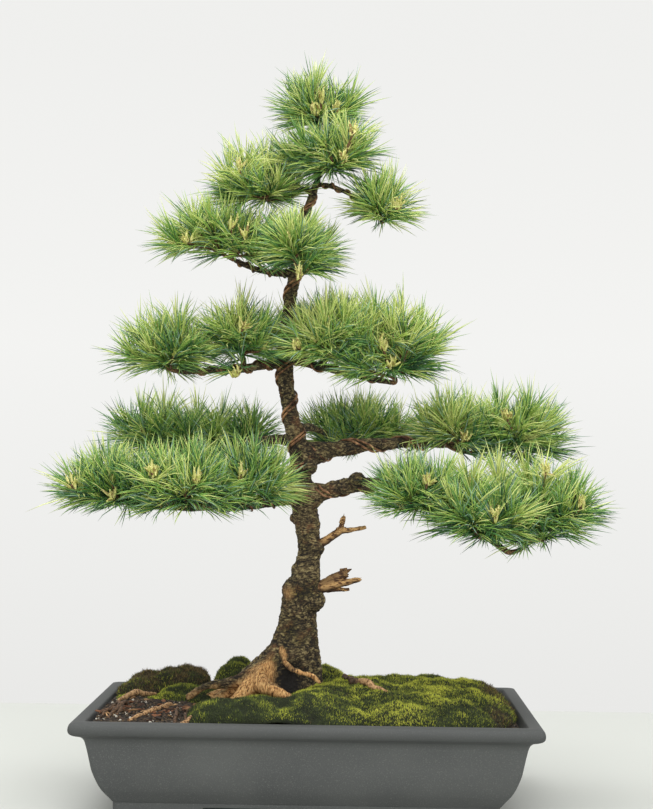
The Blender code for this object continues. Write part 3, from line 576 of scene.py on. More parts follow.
def root_limbs():
    """The surface roots: each leaves the trunk's foot, dips to the soil and tapers away along it,
    winding a little."""
    foot = np.array(TRUNK[0][:3])
    for k, (bearing, length, height, radius) in enumerate(ROOTS):
        out = np.array((math.cos(math.radians(bearing)), math.sin(math.radians(bearing)), 0))
        across = np.array((-out[1], out[0], 0)) * (ROOT_SWAY if k % 2 else -ROOT_SWAY)
        knee = ROOT_TIP + (radius - ROOT_TIP) * 0.5
        spots = (
            foot + out * 12 + (0, 0, height),
            foot + out * length * 0.36 + across * 0.5 + (0, 0, height * 0.66),
            foot + out * length * 0.64 + across + (0, 0, 9),
            foot + out * length + (0, 0, 1),
            foot + out * (length + 14) - across * 0.6 - (0, 0, 5),
        )
        widths = (radius, radius * 0.84, knee, ROOT_TIP, 2.0)
        yield one_limb([(*spot, width) for spot, width in zip(spots, widths)], 40, 24)


def wrapped(name, parts, voxel, rounds):
    """All parts as one skin: joined, wrapped in small voxels and smoothed. Returns its mesh, points and
    normals."""
    points, faces = joined(parts)
    raw = new_piece(name, points, faces, [])
    wrap = raw.modifiers.new("wrap", "REMESH")
    wrap.mode, wrap.voxel_size = "VOXEL", voxel
    soften = raw.modifiers.new("soften", "SMOOTH")
    soften.factor, soften.iterations = 0.5, rounds
    applied(raw)
    points, normals = np.zeros(len(raw.data.vertices) * 3), np.zeros(len(raw.data.vertices) * 3)
    raw.data.vertices.foreach_get("co", points)
    raw.data.vertex_normals.foreach_get("vector", normals)
    return raw, points.reshape(-1, 3), normals.reshape(-1, 3)


def keep(made, key, values):
    """Keeps a number for each point of a mesh, under the name by which its finish reads it."""
    made.data.attributes.new(key, "FLOAT", "POINT").data.foreach_set("value", values.astype(np.float32))


def reshaped(made, points):
    """Moves the points of a mesh to these places, in mm, and shades it smooth."""
    made.data.vertices.foreach_set("co", placed(points).astype(np.float32).ravel())
    made.data.update()
    made.data.shade_smooth()


def plates(points, size, seed):
    """A random pattern of cells: how far each point is from the border between two, 0 on it, how far
    from its cell's heart, and its cell's number."""
    spot = points / size
    home = np.floor(spot).astype(np.int64)
    near, second, which = np.full(len(spot), 9.0), np.full(len(spot), 9.0), np.zeros(len(spot))
    for step in np.ndindex(3, 3, 3):
        cell = home + np.array(step) - 1
        heart = cell + np.stack([hashed(cell, seed + k) for k in range(3)], -1)
        far = np.linalg.norm(heart - spot, axis=1)
        closer = far < near
        second = np.where(closer, near, np.minimum(second, far))
        near, which = np.where(closer, far, near), np.where(closer, hashed(cell, seed + 3), which)
    return second - near, near, which


def weathered(made, points, normals, amount, worn):
    """Moves the skin of a limb in and out along its normals, in mm: swellings, then scales of bark with
    a groove round each and grain, or where it is worn fibres that run down and out from the foot. Keeps
    for the bark's finish how deep each point lies in a groove or in the hollow under the trunk, which the
    finish darkens as painted shade, how worn it is and which scale it is on."""
    swell = 1.0 * drift(points, 17, 11) + 0.7 * drift(points, 7.5, 12)
    flat = points[:, :2] - np.array(TRUNK[0][:2])
    around, reach = np.arctan2(flat[:, 1], flat[:, 0]), np.hypot(*flat.T) - points[:, 2]
    fibres = drift(np.stack((around * 13, reach / 15, 0 * reach), -1), 1, 16)
    bearing, width, height, half, _ = HOLLOW
    off = (np.degrees(around) - bearing + 180) % 360 - 180
    hollow = np.exp(-((off / width) ** 2) - ((points[:, 2] - height + 3) / half) ** 2)
    hollow = hollow * (np.hypot(*flat.T) < HOLLOW_REACH)
    bends = [drift(points, 5, 20 + k) + 0.5 * drift(points, 2.2, 24 + k) for k in range(3)]
    edge, _, which = plates(points + 1.9 * np.stack(bends, -1), np.array(PLATE), 30)
    groove = np.exp(-((edge / GROOVE_WIDTH) ** 2)) * np.clip(0.75 + 0.8 * drift(points, 11, 14), 0, 1)
    cracks = np.exp(-((drift(points * (0.32, 0.32, 1), 3.6, 17) / CRACK_WIDTH) ** 2))
    groove = np.maximum(groove, cracks * np.clip(0.3 + drift(points, 12, 18), 0, 1))
    scale = SCALE_RISE * (which - 0.5) - GROOVE_DEPTH * groove
    grain = GRAIN_DEPTH * drift(points, 2.4, 13)
    rough = 1 - 0.8 * worn
    moved = swell * (1 - 0.5 * worn) + (scale + grain) * rough + FIBRE_DEPTH * worn * fibres
    # Painted shade: how deep a point lies in a groove or in the hollow under the trunk, for the finish.
    keep(made, "deep", np.clip(groove * rough + 1.3 * hollow, 0, 1))
    keep(made, "worn", worn)
    keep(made, "scale", which)
    reshaped(made, points + normals * (amount * moved)[:, None])


def nearest(points, spots):
    """For each point the number of the nearest spot and how far away it is."""
    found, apart = np.zeros(len(points), int), np.zeros(len(points))
    for start in range(0, len(points), BATCH):
        gaps = np.linalg.norm(points[start : start + BATCH, None] - spots[None], axis=2)
        found[start : start + BATCH] = gaps.argmin(1)
        apart[start : start + BATCH] = gaps.min(1)
    return found, apart


def wear(points):
    """How worn the bark is, from 0 to 1: full on the left of the foot, along the bare roots, on the far
    ends of the others and in the old scar, with a ragged border."""
    x, y, z = points.T
    border = 0.45 * drift(points, 9, 15)
    below = np.clip((138 + 0.8 * (x + 42) - z) / 9, 0, 1)
    left = below * np.clip((-31 - x) / 7, 0, 1)
    far = np.hypot(x - TRUNK[0][0], y - TRUNK[0][1])
    ends = np.clip((far - 44) / 10, 0, 1) * np.clip((112 - z) / 10, 0, 1)
    scar = np.exp(-((np.linalg.norm(points - SCAR[:3], axis=1) / SCAR[3]) ** 2))
    bare = np.zeros(len(points))
    low = z < 172
    strands = np.concatenate([smooth_rows(rows, BARE_ROWS) for rows in BARE_ROOTS])
    which, apart = nearest(points[low], strands[:, :3])
    bare[low] = np.clip(2.2 - apart / strands[which, 3], 0, 1) * np.maximum(below[low], which < BARE_ROWS)
    patches = np.maximum(left, 0.8 * ends) + border * (left + ends > 0)
    return np.clip(np.maximum(patches, np.maximum(bare, scar)), 0, 1)


def read(line, share):
    """Rows of a line at these shares of the way along it."""
    spot = np.asarray(share) * (len(line) - 1)
    return np.stack([np.interp(spot, np.arange(len(line)), line[:, k]) for k in range(line.shape[1])], -1)


def bough_line(name):
    """A bough's middle line and radii, by the source's rule: it leaves its parent's middle line, arches
    a little, 4 * arch * s * (1 - s), and sways once, sin(2 pi s). It is then smoothed and bent a little
    at random."""
    parent, where, tip, arch, root_radius, tip_radius = BOUGHS[name]
    line = limbs[parent]
    share = np.interp(where, line[:, 2], np.linspace(0, 1, len(line))) if parent == "trunk" else where
    start, tip = read(line, share)[:3], np.array(tip, float)
    steps = 9 if np.linalg.norm(tip - start) > 60 else 5
    across = np.cross(tip - start, UP)
    across *= 0.025 * np.linalg.norm(tip - start) / np.linalg.norm(across)
    s = np.linspace(0, 1, steps)[:, None]
    points = start + (tip - start) * s + UP * arch * 4 * s * (1 - s) + across * np.sin(math.tau * s)
    if where == 1.0:
        ahead = line[-1, :3] - line[-2, :3]
        points[1] = start + ahead / np.linalg.norm(ahead) * np.linalg.norm(points[1] - start)
    rows = smooth_rows(np.hstack((points, root_radius + (tip_radius - root_radius) * s**0.8)), LIMB_POINTS)
    s = np.linspace(0, 1, LIMB_POINTS)
    for k in range(3):
        rows[:, k] += 0.22 * rows[:, 3] * np.sin(math.pi * s) * drift(rows[:, :3], 13, 40 + k)
    rows[:, 3] *= 1 + 0.12 * drift(rows[:, :3], 10, 43)
    return rows


def collar(name):
    """The swelling where a bough leaves the trunk: the bough's own start, half as wide again at first."""
    line = limbs[name]
    length = np.linalg.norm(line[-1, :3] - line[0, :3])
    girth = np.interp(line[0, 2], limbs["trunk"][:, 2], limbs["trunk"][:, 3])
    t = np.linspace(0, 1, 16)
    rows = read(line, t * min(1, (girth + 2.6 * line[0, 3]) / length))
    rows[:, 3] *= 1.5 - 0.62 * t
    return sweep(rows[None, :, :3], rows[None, :, 3], LIMB_SIDES)


def knob(x, y, z, radius):
    """A round swelling, as a ball carried along a short upright line: radius * sqrt(1 - t^2)."""
    t = np.linspace(-0.97, 0.97, 13)
    line = np.array((x, y, z)) + UP * (radius * t)[:, None]
    return sweep(line[None], (radius * np.sqrt(1 - t**2))[None], 18)


stem = stem_rings()
limbs = {"trunk": smooth_rows(TRUNK, TRUNK_RINGS)}
for bough_name in BOUGHS:
    limbs[bough_name] = bough_line(bough_name)
on_trunk = [name for name, row in BOUGHS.items() if row[0] == "trunk"]
parts = [skin(np.concatenate((stem[:1] - UP * 6, stem))), *root_limbs()]
parts += [one_limb(rows, BARE_ROWS, LIMB_SIDES) for rows in BARE_ROOTS]
parts += [collar(name) for name in on_trunk] + [knob(*row) for row in KNOBS]
trunk, points, normals = wrapped("trunk_skin", parts, TRUNK_VOXEL, 2)
weathered(trunk, points, normals, np.interp(points[:, 2], (90, 300, 640), (1.0, 0.8, 0.4)), wear(points))

# The boughs are as old at their roots and thin out to twigs, with the same scaly bark, less deep as they
# thin.
parts = [sweep(limbs[name][None, :, :3], limbs[name][None, :, 3], LIMB_SIDES) for name in BOUGHS]
parts += [knob(*row) for row in BOUGH_KNOBS]
boughs, points, normals = wrapped("boughs_skin", parts, BOUGH_VOXEL, 1)
rows = np.concatenate([limbs[name] for name in BOUGHS])
which, _ = nearest(points, rows[:, :3])
weathered(boughs, points, normals, np.clip(rows[which, 3] / 11, 0.2, 0.62), np.zeros(len(points)))


def sums(finish, operation, *values):
    """One step of arithmetic on numbers and outputs. Gives the result."""
    return add(finish, "Math", dict(enumerate(values)), operation=operation).outputs["Value"]


# Pine bark: grey brown scales over clefts painted near black, partly their own dark colour and partly
# painted shade, with a green bloom of algae on some, and tan wood where it is worn. The hollow under the
# trunk is painted near black too, as painted shade.
bark, shader = new_finish("scaly_pine_bark", "#5d5345", 0.9)
places = add(bark, "TexCoord").outputs["Object"]
deep = add(bark, "Attribute", attribute_name="deep").outputs["Fac"]
worn = add(bark, "Attribute", attribute_name="worn").outputs["Fac"]
scale = add(bark, "Attribute", attribute_name="scale").outputs["Fac"]
creases = add(bark, "VectorMath", {0: places, 1: (0.42, 0.42, 1.15)}, operation="MULTIPLY").outputs["Vector"]
fine = noise(bark, creases, 640.0, 4.0, 0.72)
graded = sums(bark, "ADD", fine, sums(bark, "MULTIPLY_ADD", scale, 0.16, -0.08))
shades = ramp(bark, graded, (0.36, linear("#15110d")), (0.68, linear("#b09f70")), (0.5, linear("#574830")))
rust = ramp(bark, noise(bark, places, 74.0, 4.0, 0.6), (0.55, NONE), (0.72, (0.7, 0.7, 0.7, 1)))
shades = blended(bark, rust, shades, linear("#7d5233"))
bloom = ramp(bark, noise(bark, places, 38.0, 3.0), (0.5, NONE), (0.72, (0.9, 0.9, 0.9, 1)))
shades = blended(bark, bloom, shades, linear("#4c6238"), blend_type="SOFT_LIGHT")
foot = placed(TRUNK[0][:3])
from_foot = add(bark, "VectorMath", {0: places, 1: foot}, operation="SUBTRACT").outputs["Vector"]
parts = add(bark, "SeparateXYZ", {"Vector": from_foot}).outputs
around = sums(bark, "MULTIPLY", sums(bark, "ARCTAN2", parts["Y"], parts["X"]), 26.0)
level = add(bark, "VectorMath", {0: from_foot, 1: (1, 1, 0)}, operation="MULTIPLY").outputs["Vector"]
level = add(bark, "VectorMath", {0: level}, operation="LENGTH").outputs["Value"]
reach = sums(bark, "MULTIPLY", sums(bark, "SUBTRACT", level, parts["Z"]), 110.0)
strand = add(bark, "CombineXYZ", {"X": around, "Y": reach}).outputs["Vector"]
fibres = noise(bark, strand, 1.6, 4.0, 0.7)
wood = ramp(bark, fibres, (0.38, linear("#2c1c10")), (0.6, linear("#e6be80")), (0.48, linear("#bb8650")))
shades = blended(bark, worn, shades, wood)
# Painted shade: near black as deep as a point lies in a groove or in the hollow under the trunk.
shades = blended(bark, deep, shades, linear("#14100c"))
feed(bark, shader, {"Base Color": shades, "Normal": bump(bark, fine, 0.9, 0.0009)})
for piece, nodes in ((trunk, ["trunk"]), (boughs, list(BOUGHS))):
    piece.data.materials.clear()
    piece.data.materials.append(bark)
    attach(piece, "root")
    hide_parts(*nodes)

# Two branches died back on the trunk's right. Their bark is mostly gone, and the wood under it has
# bleached to a dry tan, furrowed along the grain, and broken off in splinters.
DEADWOOD = {
    # Height on the trunk, where along the first arm the others fork off, and each arm's tip and radii.
    "stub_upper": (
        238, 0.93, (((28.5, -10, 258), 5.6, 3), ((30, -12, 270), 2.6, 2.3), ((51, -8, 260.5), 2.9, 1.9)),
    ),
    "stub_lower": (
        194, 0.25, (((33, -3, 216.5), 9, 4.4), ((46, -11, 211), 6.4, 2.2), ((36, -6, 201), 2.6, 1.6)),
    ),
}
SPLINTERS = 5
SLAB_FROM, SLAB_SLOPE = (-11.0, 196.5), 0.3
STUB_VOXEL = 0.55
STUB_SEED = 9
STUB_SIDES = 18
GRAIN_WAY, GRAIN_RUN = np.array((0.9, -0.15, 0.41)), 0.86


def splinters(start, tip, radius, rng):
    """Sharp ends of wood round the end of an arm, each set off from its middle and running on past it."""
    along = (tip - start) / np.linalg.norm(tip - start)
    for k in range(SPLINTERS):
        off = rng.normal(0, 0.5, 3) * radius
        root = tip - along * 5 + off
        spots = root + along * np.linspace(0, rng.uniform(4.5, 7.5), 6)[:, None]
        yield sweep(spots[None], np.linspace(radius * 0.62, 0.35, 6)[None], 8)


def on_stem(height):
    """The middle of the trunk at a height."""
    return np.array([np.interp(height, limbs["trunk"][:, 2], limbs["trunk"][:, k]) for k in range(3)])


def stub(name, rng):
    """A dead stub's arms with their splinters, the others forking off along the first."""
    height, forks, arms = DEADWOOD[name]
    start = on_stem(height)
    fork = start + (np.array(arms[0][0]) - start) * forks
    for k, (tip, root_radius, tip_radius) in enumerate(arms):
        base, tip = (fork if k else start), np.array(tip, float)
        s = np.linspace(0, 1, 24)[:, None]
        line = base + (tip - base) * s + 0.8 * rng.normal(0, 1, 3) * np.sin(math.pi * s)
        widths = root_radius + (tip_radius - root_radius) * s[:, 0]
        widths = widths * (1 + 0.13 * drift(line, 5, 50 + k))
        yield sweep(line[None], widths[None], STUB_SIDES)
        yield from splinters(base, tip, tip_radius, rng)


# Bleached dead wood: tan to straw, with fine dark checks along the grain, and brown where some bark
# still clings. The same brown is painted on the faces turned down and down in the furrows, as shade.
dead_wood, shader = new_finish("bleached_dead_wood", "#b08a5c", 0.85)
places = add(dead_wood, "TexCoord").outputs["Object"]
run = add(dead_wood, "Mapping", {"Vector": places, "Rotation": (0.0, 0.42, 0.15), "Scale": (0.16, 1.0, 1.0)})
checks = noise(dead_wood, run.outputs["Vector"], 900.0, 4.0)
graded = sums(dead_wood, "ADD", checks, noise(dead_wood, places, 110.0, 2.0))
shades = ramp(
    dead_wood, graded,
    (0.85, linear("#4a301b")), (1.0, linear("#c49c66")), (0.97, linear("#8a6139")),
)
husk_and_painted_shade = add(dead_wood, "Attribute", attribute_name="husk_and_painted_shade").outputs["Fac"]
shades = blended(dead_wood, husk_and_painted_shade, shades, linear("#3c2819"))
feed(dead_wood, shader, {"Base Color": shades, "Normal": bump(dead_wood, checks, 0.8, 0.0006)})

for name in DEADWOOD:
    parts = list(stub(name, np.random.RandomState(STUB_SEED)))
    made, points, normals = wrapped(name + "_wood", parts, STUB_VOXEL, 1)
    level = points - GRAIN_RUN * (points @ GRAIN_WAY)[:, None] * GRAIN_WAY
    groove = np.abs(drift(level, 2.0, 60))
    from_trunk = np.linalg.norm(points - on_stem(DEADWOOD[name][0]), axis=1)
    # Bark left near the trunk, and painted shade on the faces turned down.
    husk_and_painted_shade = np.clip(1 - (from_trunk - 13) / 15, 0, 1) + np.clip(-normals[:, 2], 0, 1)
    husk_and_painted_shade = husk_and_painted_shade + 0.5 * drift(points, 6, 62) - 0.12
    # Painted shade down in the furrows.
    husk_and_painted_shade = np.maximum(husk_and_painted_shade, 0.55 * (groove < 0.12))
    if name == "stub_lower":
        over = points[:, 2] - SLAB_FROM[1] - SLAB_SLOPE * (points[:, 0] - SLAB_FROM[0])
        husk_and_painted_shade = np.maximum(husk_and_painted_shade, 0.6 * np.clip(over / 3, 0, 1))
    keep(made, "husk_and_painted_shade", np.clip(husk_and_painted_shade, 0, 1))
    reshaped(made, points + normals * (0.7 * (groove - 0.4) + 0.25 * drift(points, 1.3, 61))[:, None])
    made.data.materials.append(dead_wood)
    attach(made, "root")
    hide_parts(name)

# Training wire: annealed copper a little over 2 mm thick, wound on while soft to hold the bends, two
# strands side by side on the thick limbs. It has weathered to a red brown and lies close on the bark.
WIRE_RADIUS = 1.1
WIRE_SIDES = 8
TURN_POINTS = 34
WIRES = (
    # The limb, the shares of it where the winding starts and ends, its turns, its first angle, its strands.
    ("trunk", 0.445, 0.602, 3.1, -90, 2),
    ("trunk", 0.602, 0.870, 6, 300, 2),
    ("bough_right_low", 0.06, 1.0, 1.9, 150, 2),
    ("bough_right_rear", 0.05, 0.62, 2.4, 0, 2),
    ("bough_left_mid", 0.10, 0.95, 4, 30, 2),
    ("bough_right_mid", 0.12, 0.9, 3.5, 70, 1),
    ("bough_left_high", 0.12, 0.95, 3.4, 10, 1),
    ("bough_left_low", 0.06, 0.5, 3.5, 60, 1),
    ("bough_top_right", 0.15, 0.95, 3, 20, 1),
)
WIRE_APART = 0.12


def winding(limb, first, last, turns, start, shift):
    """Wire round a limb: its middle line + (its radius + the wire's) * (cos a * one + sin a * two), the
    angle a growing almost evenly, and the two axes across the limb carried along it. The wire presses
    into the bark a little."""
    count = int(turns * TURN_POINTS)
    s = np.linspace(0, 1, count)
    rows = read(limbs[limb], first + (last - first) * s)
    along = np.gradient(rows[:, :3], axis=0)
    along /= np.linalg.norm(along, axis=1, keepdims=True)
    one = np.cross(along, (0, 1, 0) if limb == "trunk" else UP)
    one /= np.linalg.norm(one, axis=1, keepdims=True)
    two = np.cross(along, one)
    angle = math.radians(start) + math.tau * (turns * s - shift) + 0.5 * np.sin(7 * s)
    out = rows[:, 3:] + WIRE_RADIUS * (0.85 if limb == "trunk" else 0.7)
    return rows[:, :3] + out * (np.cos(angle)[:, None] * one + np.sin(angle)[:, None] * two)


# Weathered copper: red brown with darker spots, still metal where it is rubbed.
copper, shader = new_finish("weathered_copper", "#7a4c36", 0.42, 0.4)
places = add(copper, "TexCoord").outputs["Object"]
spots = noise(copper, places, 160.0, 3.0)
shades = ramp(copper, spots, (0.4, linear("#452a1c")), (0.64, linear("#b88a62")))
dulled = add(copper, "MapRange", {"Value": spots, "To Min": 0.6, "To Max": 0.32}).outputs["Result"]
feed(copper, shader, {"Base Color": shades, "Roughness": dulled})

parts = []
for limb, first, last, turns, start, strands in WIRES:
    for k in range(strands):
        line = winding(limb, first, last, turns, start, WIRE_APART * k)
        parts.append(sweep(line[None], np.full((1, len(line)), WIRE_RADIUS), WIRE_SIDES))
points, faces = joined(parts)
wire = new_piece("training_wire", placed(points), faces, [copper])
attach(wire, "root")
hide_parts("wire_trunk_low", "wire_trunk_high", "wire_right_low", "wire_right_rear", "wire_left_mid")

# Twigs and needles. Each limb's end goes on as a stem through its mass, and twigs rise from it, and from
# each other, to a shoot each. A shoot is the year's growth, ringed with bundles of five needles, and
# about half of them end in a cluster of pale buds.
FOLIAGE = {
    # The limb a mass grows on from, its room's middle and half sizes, how many shoots it has, its seed.
    "foliage_apex": ("trunk", (0, 0, 655), (24, 18, 14), 17, 11),
    "foliage_apex_side": ("bough_apex", (12, -26, 607), (32, 20, 18), 17, 12),
    "foliage_top_right": ("bough_top_right", (60, -12, 563), (13, 17, 10), 11, 13),
    "foliage_top_left": ("bough_top_left", (-50, 0, 576), (32, 26, 13), 16, 14),
    "foliage_left_high": ("bough_left_high", (-86, -20, 531), (40, 26, 15), 21, 15),
    "foliage_front_high": ("bough_front_high", (-19, -54, 515), (15, 20, 15), 12, 16),
    "foliage_rear_high": ("bough_rear_high", (-17, 66, 528), (22, 26, 12), 13, 17),
    "foliage_left_mid_outer": ("bough_left_mid", (-138, -20, 419), (30, 26, 16), 19, 18),
    "foliage_left_mid_inner": ("bough_left_mid_side", (-70, -18, 434), (24, 26, 18), 16, 19),
    "foliage_right_mid_inner": ("bough_right_mid_side", (16, -42, 436), (28, 24, 16), 17, 20),
    "foliage_right_mid_outer": ("bough_right_mid", (72, -32, 426), (38, 30, 20), 26, 21),
    "foliage_rear_mid": ("bough_rear_mid", (12, 92, 444), (44, 32, 17), 20, 22),
    "foliage_left_rear": ("bough_left_rear", (-124, 88, 342), (68, 30, 13), 27, 23),
    "foliage_left_low_outer": ("bough_left_low", (-176, -74, 290), (42, 32, 18), 26, 24),
    "foliage_left_low_mid": ("bough_left_low_side", (-112, -92, 292), (32, 32, 20), 25, 25),
    "foliage_left_low_inner": ("bough_left_low_inner", (-54, -60, 299), (26, 26, 18), 19, 26),
    "foliage_rear_low": ("bough_rear_low", (46, 98, 350), (48, 30, 14), 20, 27),
    "foliage_right_rear_inner": ("bough_right_rear_side", (134, 40, 350), (30, 26, 14), 18, 28),
    "foliage_right_rear_outer": ("bough_right_rear", (196, 54, 350), (36, 30, 17), 23, 29),
    "foliage_right_low_inner": ("bough_right_low_inner", (98, -80, 290), (28, 26, 13), 17, 30),
    "foliage_right_low_mid": ("bough_right_low_side", (154, -102, 270), (36, 30, 19), 26, 31),
    "foliage_right_low_outer": ("bough_right_low_end", (212, -56, 274), (36, 36, 20), 29, 32),
}
# Shoots whose buds stand out at the front of a mass, each at its own place, and then more that give it
# its outline.
LEADING = {
    "foliage_apex": ((3, -6, 670), (-2, -18, 658), (18, -10, 662)),
    "foliage_apex_side": ((34, -42, 634), (26, -42, 608)),
    "foliage_top_right": ((78, -22, 566),),
    "foliage_top_left": ((-74, -21, 602),),
    "foliage_left_high": ((-122, -41, 529), (-79, -41, 542), (-66, -41, 534)),
    "foliage_front_high": ((-14, -72, 494),),
    "foliage_left_mid_inner": ((-68, -39, 447), (-74, -38, 402)),
    "foliage_right_mid_inner": ((-16, -61, 429),),
    "foliage_right_mid_outer": ((64, -56, 430), (74, -56, 413)),
    "foliage_left_low_outer": ((-180, -100, 288), (-218, -96, 299)),
    "foliage_left_low_mid": ((-102, -118, 305), (-142, -118, 311)),
    "foliage_left_low_inner": ((-65, -81, 310),),
    "foliage_right_rear_outer": ((188, 30, 369),),
    "foliage_right_rear_inner": ((147, 19, 346),),
    "foliage_right_low_inner": ((105, -101, 305),),
    "foliage_right_low_mid": ((165, -126, 276),),
    "foliage_right_low_outer": ((214, -85, 317), (248, -82, 286)),
}
OUTER = {
    "foliage_apex_side": ((-16, -18, 603), (-28, -12, 610), (8, -30, 597)),
    "foliage_front_high": ((-6, -58, 500), (0, -52, 515)),
    "foliage_apex": ((-23, -4, 665), (30, -2, 664), (-4, 2, 678)),
    "foliage_top_right": ((64, -22, 551), (70, -8, 575), (50, -8, 575)),
    "foliage_top_left": ((-84, -6, 596), (-72, 4, 609), (-50, 8, 611), (-30, 6, 606), (-44, -4, 593)),
    "foliage_left_high": (
        (-128, -22, 533), (-117, -16, 548), (-57, -36, 517), (-40, -34, 514), (-134, -36, 527),
    ),
    "foliage_left_mid_outer": ((-164, -20, 434), (-132, -14, 449), (-172, -26, 419)),
    "foliage_left_mid_inner": ((-70, -16, 458), (-48, -36, 428)),
    "foliage_right_mid_outer": (
        (84, -28, 456), (99, -26, 443), (98, -38, 414), (58, -28, 459), (30, -24, 452), (84, -46, 408),
        (34, -60, 413), (52, -62, 407),
    ),
    "foliage_right_mid_inner": ((18, -58, 418),),
    "foliage_left_rear": (
        (-188, 84, 352), (-176, 84, 361), (-154, 88, 366), (-192, 92, 342), (-62, 70, 352),
        (-164, 76, 334), (-138, 78, 331), (-112, 80, 331), (-88, 72, 331), (-72, 66, 337), (-58, 64, 344),
    ),
    "foliage_rear_low": ((14, 62, 338), (32, 60, 338)),
    "foliage_left_low_outer": ((-214, -84, 291), (-193, -96, 287), (-170, -98, 288), (-186, -72, 314)),
    "foliage_left_low_mid": (
        (-145, -108, 288), (-121, -112, 288), (-98, -106, 290), (-96, -66, 316), (-136, -112, 281),
        (-112, -108, 282), (-88, -98, 282),
    ),
    "foliage_left_low_inner": (
        (-78, -84, 291), (-57, -82, 294), (-38, -72, 298), (-50, -48, 316), (-72, -54, 318),
        (-62, -90, 284), (-42, -80, 287),
    ),
    "foliage_right_rear_inner": ((152, 46, 368), (154, 26, 334)),
    "foliage_right_rear_outer": (
        (182, 54, 374), (212, 54, 372), (230, 54, 356), (229, 48, 336), (182, 28, 336), (203, 32, 330),
    ),
    "foliage_right_low_inner": ((76, -92, 288), (84, -96, 281), (104, -98, 281)),
    "foliage_right_low_mid": (
        (145, -82, 306), (172, -80, 308), (150, -112, 272), (150, -108, 263), (172, -108, 260),
        (132, -100, 280),
    ),
    "foliage_right_low_outer": (
        (199, -70, 308), (192, -102, 257), (210, -94, 255), (232, -82, 264), (240, -70, 292),
    ),
}
STEM_TIP = 1.2
STEM_ROWS = 24
TWIG_ROWS = 10
TWIG_WIDTHS = (1.5, 1.05)
SHOOT_LIFT = 1.0
ROOM_FLOOR = -0.3
ROOM_SPARE = 0.012
TRIES = 420
SHOOT_RAISED = 4.0
SHOOT_STRAY = 0.12
CORE_LENGTH = 17.0
CORE_GAP = 2.0
NEEDLE_LENGTH = 44.0
NEEDLE_LENGTHS = (0.72, 1.14)
NEEDLE_WIDTH = 0.52
NEEDLE_AT = (0.0, 0.34, 0.72, 1.0)
NEEDLE_TAPER = (0.75, 1.0, 0.85, 0.0)
BUNDLES = 20
BUNDLE_TURN = 2.39996
NEEDLES_EACH = 5
BUNDLE_STRAYS, NEEDLE_STRAYS = (0.3, 9.0), (0.15, 6.0)
WILD_SHARE, WILD_LEAN = 0.06, 14.0
LEAN = (15.0, 75.0)
SAG, SAGS = 3.6, (0.2, 1.6)
BOW = 0.1
DROOP = 0.5
TRUNK_GAP, TOP_FREE = 0.8, 30.0
PLUCKED = (5.5, 3.0, 19.0)
PLUCKED_BEHIND, PLUCKED_BEFORE = 3.0, 60.0


def unit(rows):
    """Rows as directions of length 1."""
    rows = np.asarray(rows, float)
    return rows / np.linalg.norm(rows, axis=-1, keepdims=True)


def stem_line(name):
    """The stem inside a mass, by the source's rule: from its limb's tip on along start * (1 - s)^2 +
    bend * 2 * s * (1 - s) + end * s^2, with the bend straight ahead of the limb and the end on the far
    side of the room."""
    carrier, middle, half, _, _ = FOLIAGE[name]
    line, middle, half = limbs[carrier], np.array(middle, float), np.array(half, float)
    ahead = UP if carrier == "trunk" else unit(line[-1, :3] - line[-4, :3])
    start = line[-1, :3]
    out = (middle - start) * (1, 1, 0)
    out = out if np.linalg.norm(out) > 4 else np.array((4.0, 0, 0))
    out = unit(out)
    end = middle + out * 0.55 * max(half[0] * abs(out[0]), half[1] * abs(out[1])) - UP * half[2] * 0.2
    bend = start + ahead * min(0.35 * np.linalg.norm(end - start), 14)
    s = np.linspace(0, 1, STEM_ROWS)[:, None]
    points = start * (1 - s) ** 2 + bend * 2 * s * (1 - s) + end * s**2
    return np.hstack((points, line[-1, 3] * 0.95 + (STEM_TIP - line[-1, 3] * 0.95) * s))


def shoot_places(name, rng):
    """Where a mass's shoots end: its leading and outer ones first, then places in the upper shell of its
    room, each the one farthest from those chosen."""
    _, middle, half, count, _ = FOLIAGE[name]
    tries = rng.uniform(-1, 1, (TRIES, 3))
    length = np.linalg.norm(tries, axis=1)
    tries = tries[(length < 1) & (length > 0.4) & (tries[:, 2] > ROOM_FLOOR)] * half + middle
    tries = tries + UP * SHOOT_RAISED
    chosen = [np.array(spot, float) for spot in LEADING.get(name, ()) + OUTER.get(name, ())]
    chosen = chosen or [tries[tries[:, 2].argmax()]]
    while len(chosen) < count:
        gaps = np.linalg.norm(tries[:, None] - np.array(chosen)[None], axis=2).min(1)
        chosen.append(tries[gaps.argmax()])
    return np.array(chosen)


def grown(name, rng):
    """A mass's stem, its twigs and the way each shoot points. A twig leaves the nearest stretch of stem
    or twig a little behind the spot nearest to its shoot, and curves from that stretch's direction into
    its shoot's own."""
    _, middle, half, _, _ = FOLIAGE[name]
    stem = stem_line(name)
    places = shoot_places(name, rng)
    strays = rng.normal(0, SHOOT_STRAY, places.shape)
    axes = unit(unit((places - middle) / half) + UP * SHOOT_LIFT + strays)
    web, heading = stem[4:, :3], unit(np.gradient(stem[:, :3], axis=0))[4:]
    twigs = [None] * len(places)
    order = np.linalg.norm(places[:, None] - stem[None, :, :3], axis=2).min(1).argsort()
    s = np.linspace(0, 1, TWIG_ROWS)[:, None]
    for k in order:
        place, axis = places[k], axes[k]
        foot = place - axis * CORE_LENGTH * 1.3
        costs = np.linalg.norm(web - foot, axis=1) + 12 * (unit(foot - web) @ axis < 0.1)
        spot = costs.argmin()
        root, ahead, reach = web[spot], heading[spot], np.linalg.norm(place - web[spot])
        slope = unit(0.8 * ahead + unit(place - root)) * reach
        twig = (2 * s**3 - 3 * s**2 + 1) * root + (s**3 - 2 * s**2 + s) * slope
        twig = twig + (3 * s**2 - 2 * s**3) * place + (s**3 - s**2) * axis * reach * 0.9
        twigs[k] = twig
        web = np.vstack((web, twig[2:7]))
        heading = np.vstack((heading, unit(np.gradient(twig, axis=0))[2:7]))
    return stem, np.array(twigs), axes


